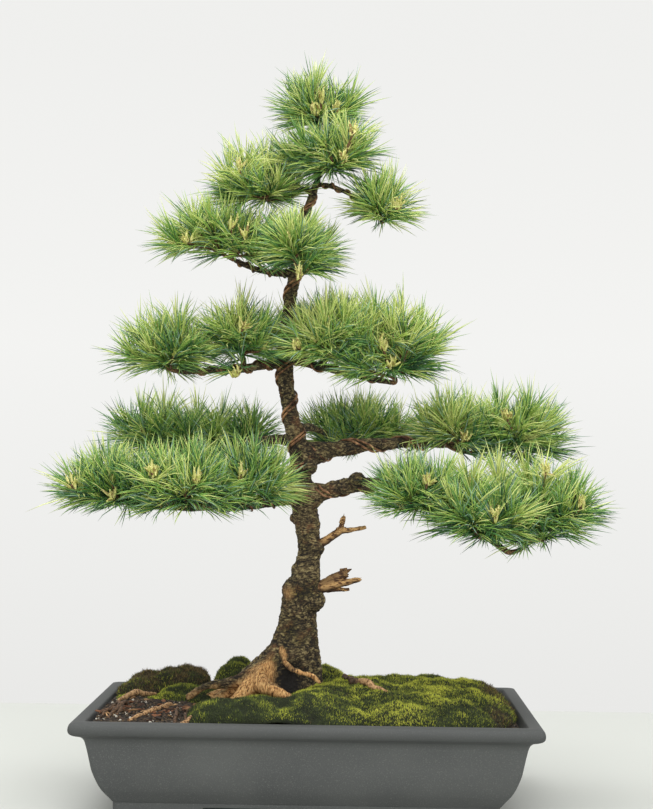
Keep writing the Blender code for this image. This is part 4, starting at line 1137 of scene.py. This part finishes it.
def spray(twig, axis, rng):
    """A shoot's needles as rows of points from base to tip: base + length * t * (cos a * axis + sin a *
    out), with the angle a from the shoot growing down the shoot, less a sag that grows with t^2. Each is
    bent a little at random, and below level they droop less."""
    count = BUNDLES * NEEDLES_EACH
    down = np.repeat(rng.permutation(BUNDLES) + 0.5, NEEDLES_EACH) / BUNDLES
    around = np.repeat(np.arange(BUNDLES) * BUNDLE_TURN + rng.uniform(0, math.tau), NEEDLES_EACH)
    around = around + np.repeat(rng.normal(0, BUNDLE_STRAYS[0], BUNDLES), NEEDLES_EACH)
    around = around + rng.normal(0, NEEDLE_STRAYS[0], count)
    strays = np.repeat(rng.normal(0, BUNDLE_STRAYS[1], BUNDLES), NEEDLES_EACH)
    lean = LEAN[0] + (LEAN[1] - LEAN[0]) * down**0.9 + strays
    lean = lean + rng.normal(0, NEEDLE_STRAYS[1], count)
    lean = np.radians(lean + WILD_LEAN * (rng.uniform(size=count) < WILD_SHARE))
    one = unit(np.cross(axis, (0.3, 0.9, 0.1)))
    two = np.cross(axis, one)
    out = np.cos(around)[:, None] * one + np.sin(around)[:, None] * two
    reach = np.linalg.norm(twig[-1] - twig[-3]) / 2
    base = read(twig, 1 - (CORE_GAP + down * CORE_LENGTH) / reach / (len(twig) - 1))
    start = np.cos(lean * 0.8)[:, None] * axis + np.sin(lean * 0.8)[:, None] * out
    bend = np.cos(lean * 1.15)[:, None] * axis + np.sin(lean * 1.15)[:, None] * out
    bend = bend + rng.normal(0, BOW, (count, 3)) * 2
    length = NEEDLE_LENGTH * rng.uniform(*NEEDLE_LENGTHS, count)[:, None] * (0.92 + 0.08 * down[:, None])
    for ways in (start, bend):
        ways[:, 2] *= np.where(ways[:, 2] < 0, DROOP, 1)
    t = np.array(NEEDLE_AT)[None, :, None]
    way = start[:, None] * (1 - t / 2) + bend[:, None] * t / 2
    level = np.linalg.norm(bend[:, :2], axis=1)[:, None, None]
    sag = UP * SAG * t**2 * level * rng.uniform(*SAGS, (count, 1, 1))
    return base[:, None] + length[:, None] * t * way - sag


def clear(needles):
    """Which needles keep out of the trunk and inside the room that the whole tree may fill."""
    rows = limbs["trunk"]
    height = needles[..., 2]
    apart = np.hypot(*(needles[..., k] - np.interp(height, rows[:, 2], rows[:, k]) for k in (0, 1)))
    thickness = np.interp(height, rows[:, 2], rows[:, 3])
    inside = (apart > thickness + TRUNK_GAP) | (height > rows[-1, 2] - TOP_FREE)
    low, high = (np.array(corner) / MM - POT_AT for corner in CAD_BOX)
    within = (needles > low - (high - low) * ROOM_SPARE) & (needles < high + (high - low) * ROOM_SPARE)
    return inside.all(1) & within.all((1, 2))


def before_buds(needles):
    """Which needles hang before a leading bud, seen from the front. Growers pluck these to let light to
    the buds."""
    buds = np.concatenate([np.array(spots, float) for spots in LEADING.values()])
    share = np.linspace(0, 3, 13)
    near = np.minimum(share.astype(int), 2)
    spots = needles[:, near] + (needles[:, near + 1] - needles[:, near]) * (share - near)[:, None]
    off = spots[:, :, None] - buds
    side, below, above = PLUCKED
    over = (np.abs(off[..., 0]) < side) & (off[..., 2] > -below) & (off[..., 2] < above)
    return (over & (off[..., 1] < PLUCKED_BEHIND) & (off[..., 1] > -PLUCKED_BEFORE)).any((1, 2))


mass_stems, mass_twigs, mass_axes = {}, {}, {}
for name, row in FOLIAGE.items():
    mass_stems[name], mass_twigs[name], mass_axes[name] = grown(name, np.random.RandomState(row[4]))

# Young bark on stems and twigs: orange brown, rough with the stubs of shed needles.
young_bark, shader = new_finish("young_twig_bark", "#7c5c3c", 0.85)
places = add(young_bark, "TexCoord").outputs["Object"]
stubs = add(young_bark, "TexVoronoi", {"Vector": places, "Scale": 620.0}).outputs["Distance"]
shades = ramp(young_bark, stubs, (0.1, linear("#92704a")), (0.7, linear("#4a3726")))
relief = bump(young_bark, stubs, 0.7, 0.0007, invert=True)
feed(young_bark, shader, {"Base Color": shades, "Normal": relief})
stems, twigs = np.array(list(mass_stems.values())), np.concatenate(list(mass_twigs.values()))
twig_widths = np.broadcast_to(np.linspace(*TWIG_WIDTHS, TWIG_ROWS), twigs.shape[:2])
points, faces = joined((sweep(stems[..., :3], stems[..., 3], 8), sweep(twigs, twig_widths, 6)))
twigs = new_piece("twigs", placed(points), faces, [young_bark])
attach(twigs, "root")
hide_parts(*FOLIAGE)

# The needles are stiff, 30 to 50 mm long, with a waxy blue white band inside. Each is a slim three-sided
# blade drawn to a point. Shoots at the top and outside of a mass are dealt lighter greens and those within
# and below darker ones: partly the fresher green of the year's growth, partly painted light and shade.
NEEDLE_GREENS = ("#d6df88", "#b0c763", "#80aa50", "#4b7d42", "#274c31", "#8aac92")
DARKEST, WAXY = 4, 5
WAXY_SHARE = 0.07
# Painted shade: how much darker than the rest the masses are that have these words in their names; an
# amount below 0 is painted light.
PAINTED_SHADE_BY_NAME = (
    ("apex", 0.5), ("top_left", 0.3), ("right_mid", -0.25), ("low", 0.35), ("left_rear", 0.3),
    ("left_high", -0.1),
)
# How far the tone strays from shoot to shoot, from bundle to bundle and from needle to needle.
TONE_STRAYS = (0.45, 0.6, 0.9)
GROUPS = (
    ("needles_crown", 0, 7), ("needles_middle", 7, 12), ("needles_left", 12, 17), ("needles_right", 17, 22),
)


def palette(name, colours, roughness):
    """A plain finish of each colour, numbered."""
    return [new_finish(f"{name}_{k}", colour, roughness)[0] for k, colour in enumerate(colours)]


greens = palette("needle_green", NEEDLE_GREENS, 0.42)
for green in greens:
    green.node_tree.nodes["Principled BSDF"].inputs["Specular IOR Level"].default_value = 0.6
names = list(FOLIAGE)
for group, first, last in GROUPS:
    blades, picks = [], []
    for name in names[first:last]:
        _, middle, half, _, seed = FOLIAGE[name]
        rng = np.random.RandomState(seed + 100)
        for twig, axis in zip(mass_twigs[name], mass_axes[name]):
            needles = spray(twig, axis, rng)
            high, far = (twig[-1, 2] - middle[2]) / half[2], np.linalg.norm((twig[-1] - middle) / half)
            painted_shade = sum(more for part, more in PAINTED_SHADE_BY_NAME if part in name)
            # Painted light and shade: shoots high and far out in a mass are dealt lighter greens.
            shade = 2.3 - 1.4 * (0.5 * high + 0.35 * far) + painted_shade + rng.normal(0, TONE_STRAYS[0])
            shade = np.clip(shade, 0.4, 3.5) + rng.normal(0, TONE_STRAYS[1], BUNDLES)
            shade = np.repeat(shade, NEEDLES_EACH) + rng.normal(0, TONE_STRAYS[2], len(needles))
            pick = np.clip(np.round(shade), 0, DARKEST).astype(int)
            pick[rng.uniform(size=len(pick)) < WAXY_SHARE] = WAXY
            kept = clear(needles) & ~before_buds(needles)
            blades.append(needles[kept])
            picks.append(pick[kept])
    blades, picks = np.concatenate(blades), np.concatenate(picks)
    turn = np.random.RandomState(7).uniform(0, math.tau, len(blades))
    widths = np.broadcast_to(np.array(NEEDLE_TAPER) * NEEDLE_WIDTH, blades.shape[:2])
    points, faces = sweep(blades, widths, 3, pointed=True, turn=turn)
    rings = len(NEEDLE_AT) - 2
    dealt = np.concatenate((np.repeat(picks, 3 * rings), np.repeat(picks, 3), picks))
    made = new_piece(group, placed(points), faces, greens, dealt)
    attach(made, "root")
    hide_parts(*names[first:last])

# Buds. About half of the shoots end in a cluster of candles: yellow buds 5 to 14 mm long under papery
# scales, from which next year's needles are just breaking, each cluster upright in its brush.
BUD_SHARE = 0.5
BUDS = (3, 6)
LEADING_BUDS = (8, 12)
BUD_LENGTH = (6.0, 11.0)
BUD_WIDTH = 1.5
BUD_WIDTHS = (0.75, 1.05)
BUD_ROWS = ((0, 0.6), (0.3, 1.0), (0.7, 0.8), (1.0, 0.0))
BUD_SCALES = 8
SCALE_LENGTH = (1.6, 3.6)
SCALE_AT = (0, 0.5, 1)
SCALE_WIDTHS = (0.55, 0.42, 0.0)
BUD_YELLOWS = ("#dcd68c", "#b9bc66", "#8f7a46")
YELLOW_SHARES = (0.4, 0.38, 0.22)
yellows = palette("candle_yellow", BUD_YELLOWS, 0.55)
rng = np.random.RandomState(77)
at, shares = np.array([row[0] for row in BUD_ROWS])[:, None], np.array([row[1] for row in BUD_ROWS])
buds, bud_widths, scales = [], [], []
for name in FOLIAGE:
    for k, (twig, axis) in enumerate(zip(mass_twigs[name], mass_axes[name])):
        leads = k < len(LEADING.get(name, ()))
        if rng.uniform() > BUD_SHARE and not leads:
            continue
        for b in range(rng.randint(*(LEADING_BUDS if leads else BUDS))):
            way = unit(axis * (1 - 0.6 * leads) + 0.6 * UP + rng.normal(0, 0.36, 3) * (b > 0))
            length = rng.uniform(*BUD_LENGTH) * (1.1 if b == 0 else 0.9) * (1 + 0.15 * leads)
            foot = twig[-1] - axis * rng.uniform(0, 3.5) + rng.normal(0, 1.6, 3) * leads
            buds.append(foot + way * length * at)
            bud_widths.append(BUD_WIDTH * shares * rng.uniform(*BUD_WIDTHS))
            share = rng.uniform(0.12, 1.0, (BUD_SCALES, 1))
            root = foot + way * length * share
            lean = unit(way + rng.normal(0, 0.55, (BUD_SCALES, 3)))
            run = lean[:, None] * rng.uniform(*SCALE_LENGTH) * np.array(SCALE_AT)[:, None]
            scales.append(root[:, None] + run)
scales = np.concatenate(scales)
scale_widths = np.broadcast_to(np.array(SCALE_WIDTHS), scales.shape[:2])
points, faces = joined((
    sweep(np.array(buds), np.array(bud_widths), 6, pointed=True),
    sweep(scales, scale_widths, 3, pointed=True),
))
picks = np.concatenate([rng.choice(len(yellows), len(some), p=YELLOW_SHARES) for some in faces])
candles = new_piece("candles", placed(points), faces, yellows, picks, smooth=False)
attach(candles, "root")
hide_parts(*FOLIAGE)

# Moss in cushions, pressed on in clumps that have grown together on the right and at the front. It is a
# mat of fine shoots up to 3 mm high, fresh where it is wet, olive and brown where it has dried, nearly
# dead at the rear left.
CUSHIONS = (
    # x, y, half its length, half its depth and its height, as for the heap of soil too.
    (-119, 90, 19, 32, 26),
    (-139, 86, 22, 36, 25),
    (-163, 82, 24, 40, 20),
    (-182, 78, 13, 40, 11),
    (-77, 84, 23, 40, 37),
    (-6, 90, 46, 34, 31),
    (112, 2, 82, 126, 26),
    (40, 6, 50, 84, 27),
    (18, -60, 44, 62, 22),
    (-34, -84, 80, 47, 21),
    (-112, 34, 40, 42, 14),
    (-122, -32, 13, 12, 5),
    (-152, 12, 15, 14, 6),
    (-174, -44, 8, 11, 4),
    (-98, -66, 10, 9, 5),
    (-182, 20, 9, 16, 6),
)
DRY_CUSHIONS = 4
SHADED_CUSHION = 9
CLUMPS = ((10.0, 36.0, 71), (4.5, 13.0, 75))
MOSS_STEP = 1.8
MOSS_THICKNESS = 0.0025
MOSS_GREENS = ("#c8ca48", "#8e962c", "#4d5a20", "#262f13", "#6d5b33", "#382b1c")
TUFTS = 47000
TUFT_HALVES = (("moss_tufts_left", -1), ("moss_tufts_right", 1))
TUFT_HEIGHT = (1.4, 3.3)
TUFT_WIDTH = 0.34
TUFT_STEP = 1.2
SHADY_UP_TO = -70


def moss_height(flat):
    """How high the moss stands at each place: the cushions' own heights h merged as (sum of h^4)^(1/4),
    with clumps of 36 and 13 mm, 0.35 - near^2 high over each cell, times 10 and 4.5 mm. Then how dry it
    is, and how much it lies in the shade."""
    stack = np.stack([dome(flat, row) for row in CUSHIONS])
    height = (stack**4).sum(0) ** 0.25
    spots = np.column_stack((flat, np.zeros(len(flat))))
    bent = spots + 3 * np.stack([drift(spots, 14, 70 + k) for k in range(3)], -1) * (1, 1, 0)
    clumps = sum(rise * (0.35 - plates(bent, size, seed)[1] ** 2) for rise, size, seed in CLUMPS)
    height = height + np.clip(height / 9, 0, 1) * (clumps + 0.7 * drift(spots, 3.6, 79)) * (height > 0)
    dry = (stack[:DRY_CUSHIONS].max(0) >= stack.max(0)) + np.clip((flat[:, 0] - 155) / 18, 0, 0.85)
    dry = np.clip(dry + 0.5 * drift(spots, 30, 80) - 0.12, 0, 1)
    shaded = 1.0 * (stack[SHADED_CUSHION] >= stack.max(0)) - clumps / 5
    return np.where(stack.max(0) > 0, np.maximum(height, 0.4), 0), dry, shaded


flat, quads, _ = flat_grid((SOIL_HALF[0] - 1.5, SOIL_HALF[1] - 1.5), MOSS_STEP)
height, dry, _ = moss_height(flat)
quads = quads[(height[quads] > 0).any(1)]
level = np.where(height > 0, SOIL_TOP + height, SOIL_TOP - 2.5)
used, quads = np.unique(quads, return_inverse=True)
moss = new_piece("moss_cushions", placed(np.column_stack((flat, level))[used]), [quads.reshape(-1, 4)], [])
keep(moss, "dry", dry[used])
thick = moss.modifiers.new("thick", "SOLIDIFY")
thick.thickness, thick.offset = MOSS_THICKNESS, -1
applied(moss)

# The mat under the tufts: deep green to olive in patches, brown where dry, and with painted shade down
# between its shoots.
mat, shader = new_finish("moss_mat", "#55662a", 0.95)
places = add(mat, "TexCoord").outputs["Object"]
dried = add(mat, "Attribute", attribute_name="dry").outputs["Fac"]
shoots = add(mat, "TexVoronoi", {"Vector": places, "Scale": 900.0}).outputs["Distance"]
shades = ramp(mat, noise(mat, places, 45.0, 4.0, 0.6), (0.3, linear("#181f0c")), (0.7, linear("#3f4b1e")))
shades = blended(mat, dried, shades, linear("#33271a"))
# Painted shade between the mat's shoots.
shades = blended(mat, shoots, shades, linear("#12150a"))
feed(mat, shader, {"Base Color": shades, "Normal": bump(mat, shoots, 0.9, 0.0012, invert=True)})
moss.data.materials.append(mat)

moss_greens = palette("moss_green", MOSS_GREENS, 0.8)
mossy_pieces = [moss]
for tufts_name, side in TUFT_HALVES:
    rng = np.random.RandomState(31 + side)
    spots = rng.uniform(0, 1, (TUFTS * 2, 2)) * (side, 2) - (0, 1)
    spots = spots * (SOIL_HALF[0] - 2.5, SOIL_HALF[1] - 2.5)
    height, dry, shaded = moss_height(spots)
    spots, height, dry, shaded = (some[height > 0.5][:TUFTS] for some in (spots, height, dry, shaded))
    steps = ((TUFT_STEP, 0), (0, TUFT_STEP))
    slopes = [(moss_height(spots + step)[0] - height) / TUFT_STEP for step in steps]
    facing = unit(np.stack((-slopes[0], -slopes[1], np.ones(len(spots))), -1))
    roots = np.column_stack((spots, SOIL_TOP + height - 0.6))
    ragged = 1 + 1.0 * (dry > 0.6) * np.clip(drift(roots, 5, 92) + rng.uniform(-0.3, 0.5, len(spots)), 0, 1)
    way = unit(0.45 * facing + 0.7 * UP + rng.normal(0, 0.34, roots.shape))
    tips = roots + way * (rng.uniform(*TUFT_HEIGHT, len(spots)) * ragged)[:, None]
    patch = 0.9 * drift(roots, 24, 90) + 0.8 * drift(roots, 7, 91) + rng.normal(0, 0.5, len(spots))
    shade = 1.6 - 1.5 * patch + 0.9 * shaded + 0.4 * (spots[:, 0] < SHADY_UP_TO)
    dried = dry + rng.normal(0, 0.22, len(spots)) > 0.55
    brown, fresh = np.clip(np.round(4.0 - 1.2 * patch), 2, 5), np.clip(np.round(shade), 0, 3)
    picks = np.where(dried, brown, fresh).astype(int)
    lines = np.stack((roots, tips), 1)
    widths = np.broadcast_to(np.array((TUFT_WIDTH, 0.0)), lines.shape[:2])
    points, faces = sweep(lines, widths, 3, pointed=True)
    picks = np.concatenate((np.repeat(picks, 3), picks))
    mossy_pieces.append(new_piece(tufts_name, placed(points), faces[1:], moss_greens, picks))
for piece in mossy_pieces:
    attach(piece, "root")
    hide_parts("moss_rear_left", "moss_behind_root", "moss_rear", "moss_right", "moss_front")

# Litter on the bare soil: grit and fired clay, flakes shed by the bark, and fine roots that have come to
# the surface. Most of it lies on the left, among longer roots, and one broken root lies on the moss to
# the right of the trunk.
GRIT = 5200
GRIT_SIZES = (0.5, 1.5)
GRIT_COLOURS = ("#3b3026", "#1e1914", "#5a4a36", "#bdb6a8")
GRIT_SHARES = (0.4, 0.36, 0.19, 0.05)
FLAKES = 110
FLAKE_SIZES = (2.0, 7.0)
FLAKE_SIDES = 7
FLAKE_HALF = 0.4
FLAKE_COLOURS = ("#734a2f", "#432c1f", "#94704a", "#281d17")
FLAKE_SHARES = (0.4, 0.28, 0.18, 0.14)
HEAPS = ((-177, -64, 20, 44), (-128, -84, 24, 30), (-140, -40, 46, 60), (-98, -36, 20, 24), (-10, -40, 16, 8))
LITTER_ROOTS = 11
ROOTLET_ROWS, ROOTLET_SIDES = 30, 7
PALE_ROOTS = (
    ((-158, -123, 1, 1.5), (-150, -106, 2, 1.9), (-141, -84, 3, 2.2), (-133, -54, 3, 2.2),
     (-125, -32, 2, 1.6)),
    ((-181, -22, 2, 1.6), (-175, 0, 4, 2.6), (-169, 16, 5, 2.9), (-160, 30, 4, 2.2), (-152, 40, 2, 1.2)),
    ((-112, -128, 1, 2.0), (-108, -118, 2.5, 2.4), (-104, -108, 1, 1.8)),
    ((45, -28, 2, 1.6), (50, -38, 3.5, 2.9), (58, -46, 3, 2.8), (68, -52, 1.5, 1.8), (75, -56, 0, 1.0)),
)
BROWN_ROOTS = (
    ((-186, -104, 1, 1.2), (-182, -78, 4, 1.9), (-177, -50, 5, 1.6), (-174, -36, 3, 1.0)),
    ((-179, -110, 1, 1.3), (-174, -80, 5, 2.2), (-170, -56, 6, 1.9), (-168, -40, 3, 1.1)),
    ((-172, -102, 1, 1.1), (-171, -84, 4, 1.7), (-176, -60, 7, 1.6), (-184, -44, 3, 1.0)),
    ((-188, -92, 2, 1.2), (-180, -88, 5, 1.8), (-168, -76, 3, 1.0)),
    ((-118, -124, 1, 1.2), (-119, -96, 3, 1.8), (-121, -66, 2, 1.2)),
    ((-108, -116, 1, 1.1), (-112, -84, 3, 1.6), (-110, -52, 2, 1.1)),
    ((26, 56, 0.5, 1.1), (35, 18, 2, 2.6), (43, -16, 3, 3.3), (49, -35, 1, 2.3)),
    ((30, 30, 1, 0.9), (37, 2, 4.5, 1.3), (46, -22, 2, 0.8)),
)
GOLDEN = (1 + 5**0.5) / 2
SIGNS = ((1, 1), (1, -1), (-1, 1), (-1, -1))
STONE = unit(
    [(s, t * GOLDEN, 0) for s, t in SIGNS] + [(0, s, t * GOLDEN) for s, t in SIGNS]
    + [(t * GOLDEN, 0, s) for s, t in SIGNS]
)


def hull_faces(points):
    """The triangles of the convex hull of a few points: those with every other point on one side."""
    found = []
    count = len(points)
    for i in range(count):
        for j in range(i + 1, count):
            for k in range(j + 1, count):
                across = np.cross(points[j] - points[i], points[k] - points[i])
                side = (points - points[i]) @ across
                if (side < 1e-9).all():
                    found.append((i, j, k))
                elif (side > -1e-9).all():
                    found.append((i, k, j))
    return np.array(found)


def ground(flat):
    """The height of what lies at each place: the moss, or else the soil."""
    height = moss_height(flat)[0]
    return np.where(height > 0, SOIL_TOP + height, soil_height(flat)), height > 0


def scattered(count, rng, spare):
    """Places on the bare soil, most of them in the heaps."""
    heaps = np.array(HEAPS, float)
    which = rng.randint(0, len(heaps), count * 4)
    flat = heaps[which, :2] + rng.normal(0, 0.55, (count * 4, 2)) * heaps[which, 2:]
    loose = rng.uniform(size=len(flat)) < spare
    flat[loose] = (rng.uniform(-1, 1, (len(flat), 2)) * SOIL_HALF)[loose]
    level, mossy = ground(flat)
    inside = (np.abs(flat) < np.array(SOIL_HALF) - 4).all(1)
    chosen = np.flatnonzero(inside & ~mossy)[:count]
    return np.column_stack((flat, level))[chosen]


def turned(count, rng, tilt):
    """Random rotation matrices, each about the upright and then tilted by up to this many radians."""
    spin = rng.uniform(0, math.tau, count)
    lean = rng.uniform(-tilt, tilt, count)[:, None, None]
    way = rng.uniform(0, math.tau, count)
    axis = np.stack((np.cos(way), np.sin(way), 0 * way), -1)
    skew = np.zeros((count, 3, 3))
    skew[:, 0, 2], skew[:, 1, 2] = axis[:, 1], -axis[:, 0]
    skew[:, 2, 0], skew[:, 2, 1] = -axis[:, 1], axis[:, 0]
    tilted = np.eye(3) + np.sin(lean) * skew + (1 - np.cos(lean)) * (skew @ skew)
    level = np.zeros((count, 3, 3))
    level[:, 0, 0], level[:, 0, 1] = np.cos(spin), -np.sin(spin)
    level[:, 1, 0], level[:, 1, 1] = np.sin(spin), np.cos(spin)
    level[:, 2, 2] = 1
    return tilted @ level


rng = np.random.RandomState(61)
spots = scattered(GRIT, rng, 0.45)
sizes = rng.uniform(*GRIT_SIZES, (len(spots), 1, 1)) * rng.uniform(0.7, 1.3, (len(spots), 1, 3))
stones = STONE * rng.uniform(0.85, 1.15, (len(spots), len(STONE), 1)) * sizes
stones = np.einsum("nij,npj->npi", turned(len(spots), rng, 1.5), stones) + spots[:, None]
stone_faces = hull_faces(STONE)
faces = (np.arange(len(spots)) * len(STONE))[:, None, None] + stone_faces
picks = np.repeat(rng.choice(len(GRIT_COLOURS), len(spots), p=GRIT_SHARES), len(stone_faces))
finishes = palette("grit", GRIT_COLOURS, 0.9)
grit = new_piece("grit", placed(stones), [faces.reshape(-1, 3)], finishes, picks, smooth=False)

spots = scattered(FLAKES, rng, 0.12) + (0, 0, 1.0)
around = np.linspace(0, math.tau, FLAKE_SIDES, endpoint=False)
outline = np.stack((np.cos(around), np.sin(around), 0 * around), -1)
shape = outline * rng.uniform(0.6, 1.1, (len(spots), FLAKE_SIDES, 1))
shape = shape * rng.uniform(*FLAKE_SIZES, (len(spots), 1, 1)) * (1, 0.45, 0)
shape[..., 2] = -0.03 * shape[..., 0] ** 2
flakes = np.concatenate((shape - UP * FLAKE_HALF, shape + UP * FLAKE_HALF), 1)
flakes = np.einsum("nij,npj->npi", turned(len(spots), rng, 0.7), flakes) + spots[:, None]
index = np.arange(len(spots) * 2 * FLAKE_SIDES).reshape(len(spots), -1)
low, high = index[:, :FLAKE_SIDES], index[:, FLAKE_SIDES:]
walls = np.stack((low, np.roll(low, -1, 1), np.roll(high, -1, 1), high), -1).reshape(-1, 4)
picks = rng.choice(len(FLAKE_COLOURS), len(spots), p=FLAKE_SHARES)
picks = np.concatenate((np.repeat(picks, FLAKE_SIDES), picks, picks))
finishes = palette("bark_flake", FLAKE_COLOURS, 0.85)
faces = [walls, low[:, ::-1], high]
flakes = new_piece("bark_flakes", placed(flakes), faces, finishes, picks, smooth=False)

# Fine roots at the surface are tan where their bark has gone and red brown where it is left.
root_woods = []
for woody_name, dark, pale in (("bare_root_wood", "#5d3d23", "#caa273"), ("root_bark", "#231911", "#6e523a")):
    root_wood, shader = new_finish(woody_name, pale, 0.85)
    places = add(root_wood, "TexCoord").outputs["Object"]
    fibres = noise(root_wood, places, 500.0, 3.0)
    shades = ramp(root_wood, fibres, (0.36, linear(dark)), (0.62, linear(pale)))
    feed(root_wood, shader, {"Base Color": shades})
    root_woods.append(root_wood)
strands, picks = [], []
for k, spot in enumerate(scattered(LITTER_ROOTS, rng, 0.1)):
    s = np.linspace(0, 1, ROOTLET_ROWS)[:, None]
    way = rng.uniform(0, math.tau)
    ahead = np.array((math.cos(way), math.sin(way)))
    bends = np.stack([drift(np.hstack((s * 3, s * 0, s * 0 + spot[0])), 1, 95 + j) for j in range(2)], -1)
    flat = spot[:2] + ahead * rng.uniform(14, 46) * (s - 0.5) + 7 * bends
    flat = np.clip(flat, -np.array(SOIL_HALF) + 5, np.array(SOIL_HALF) - 5)
    rise = ground(flat)[0][:, None] + 2.6 * np.sin(math.pi * s) - 0.8
    strands.append((np.hstack((flat, rise)), rng.uniform(0.4, 1.1) * (1.1 - 0.6 * s[:, 0])))
    picks.append(k % 3 > 0)
for k, rows in enumerate(PALE_ROOTS + BROWN_ROOTS):
    rows = smooth_rows(rows, ROOTLET_ROWS)
    rows[:, 2] += ground(rows[:, :2])[0] - 0.5
    rows[:, 0] += 0.6 * drift(rows[:, :3], 7, 97)
    strands.append((rows[:, :3], rows[:, 3] * (1 + 0.3 * drift(rows[:, :3], 5, 98))))
    picks.append(k >= len(PALE_ROOTS))
lines, widths = np.array([row[0] for row in strands]), np.array([row[1] for row in strands])
points, faces = sweep(lines, widths, ROOTLET_SIDES)
picks = np.concatenate((np.repeat(picks, (ROOTLET_ROWS - 1) * ROOTLET_SIDES), picks, picks)).astype(int)
rootlets = new_piece("surface_rootlets", placed(points), faces, root_woods, picks)
for piece in (grit, flakes, rootlets):
    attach(piece, "root")
    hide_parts("mulch_left")
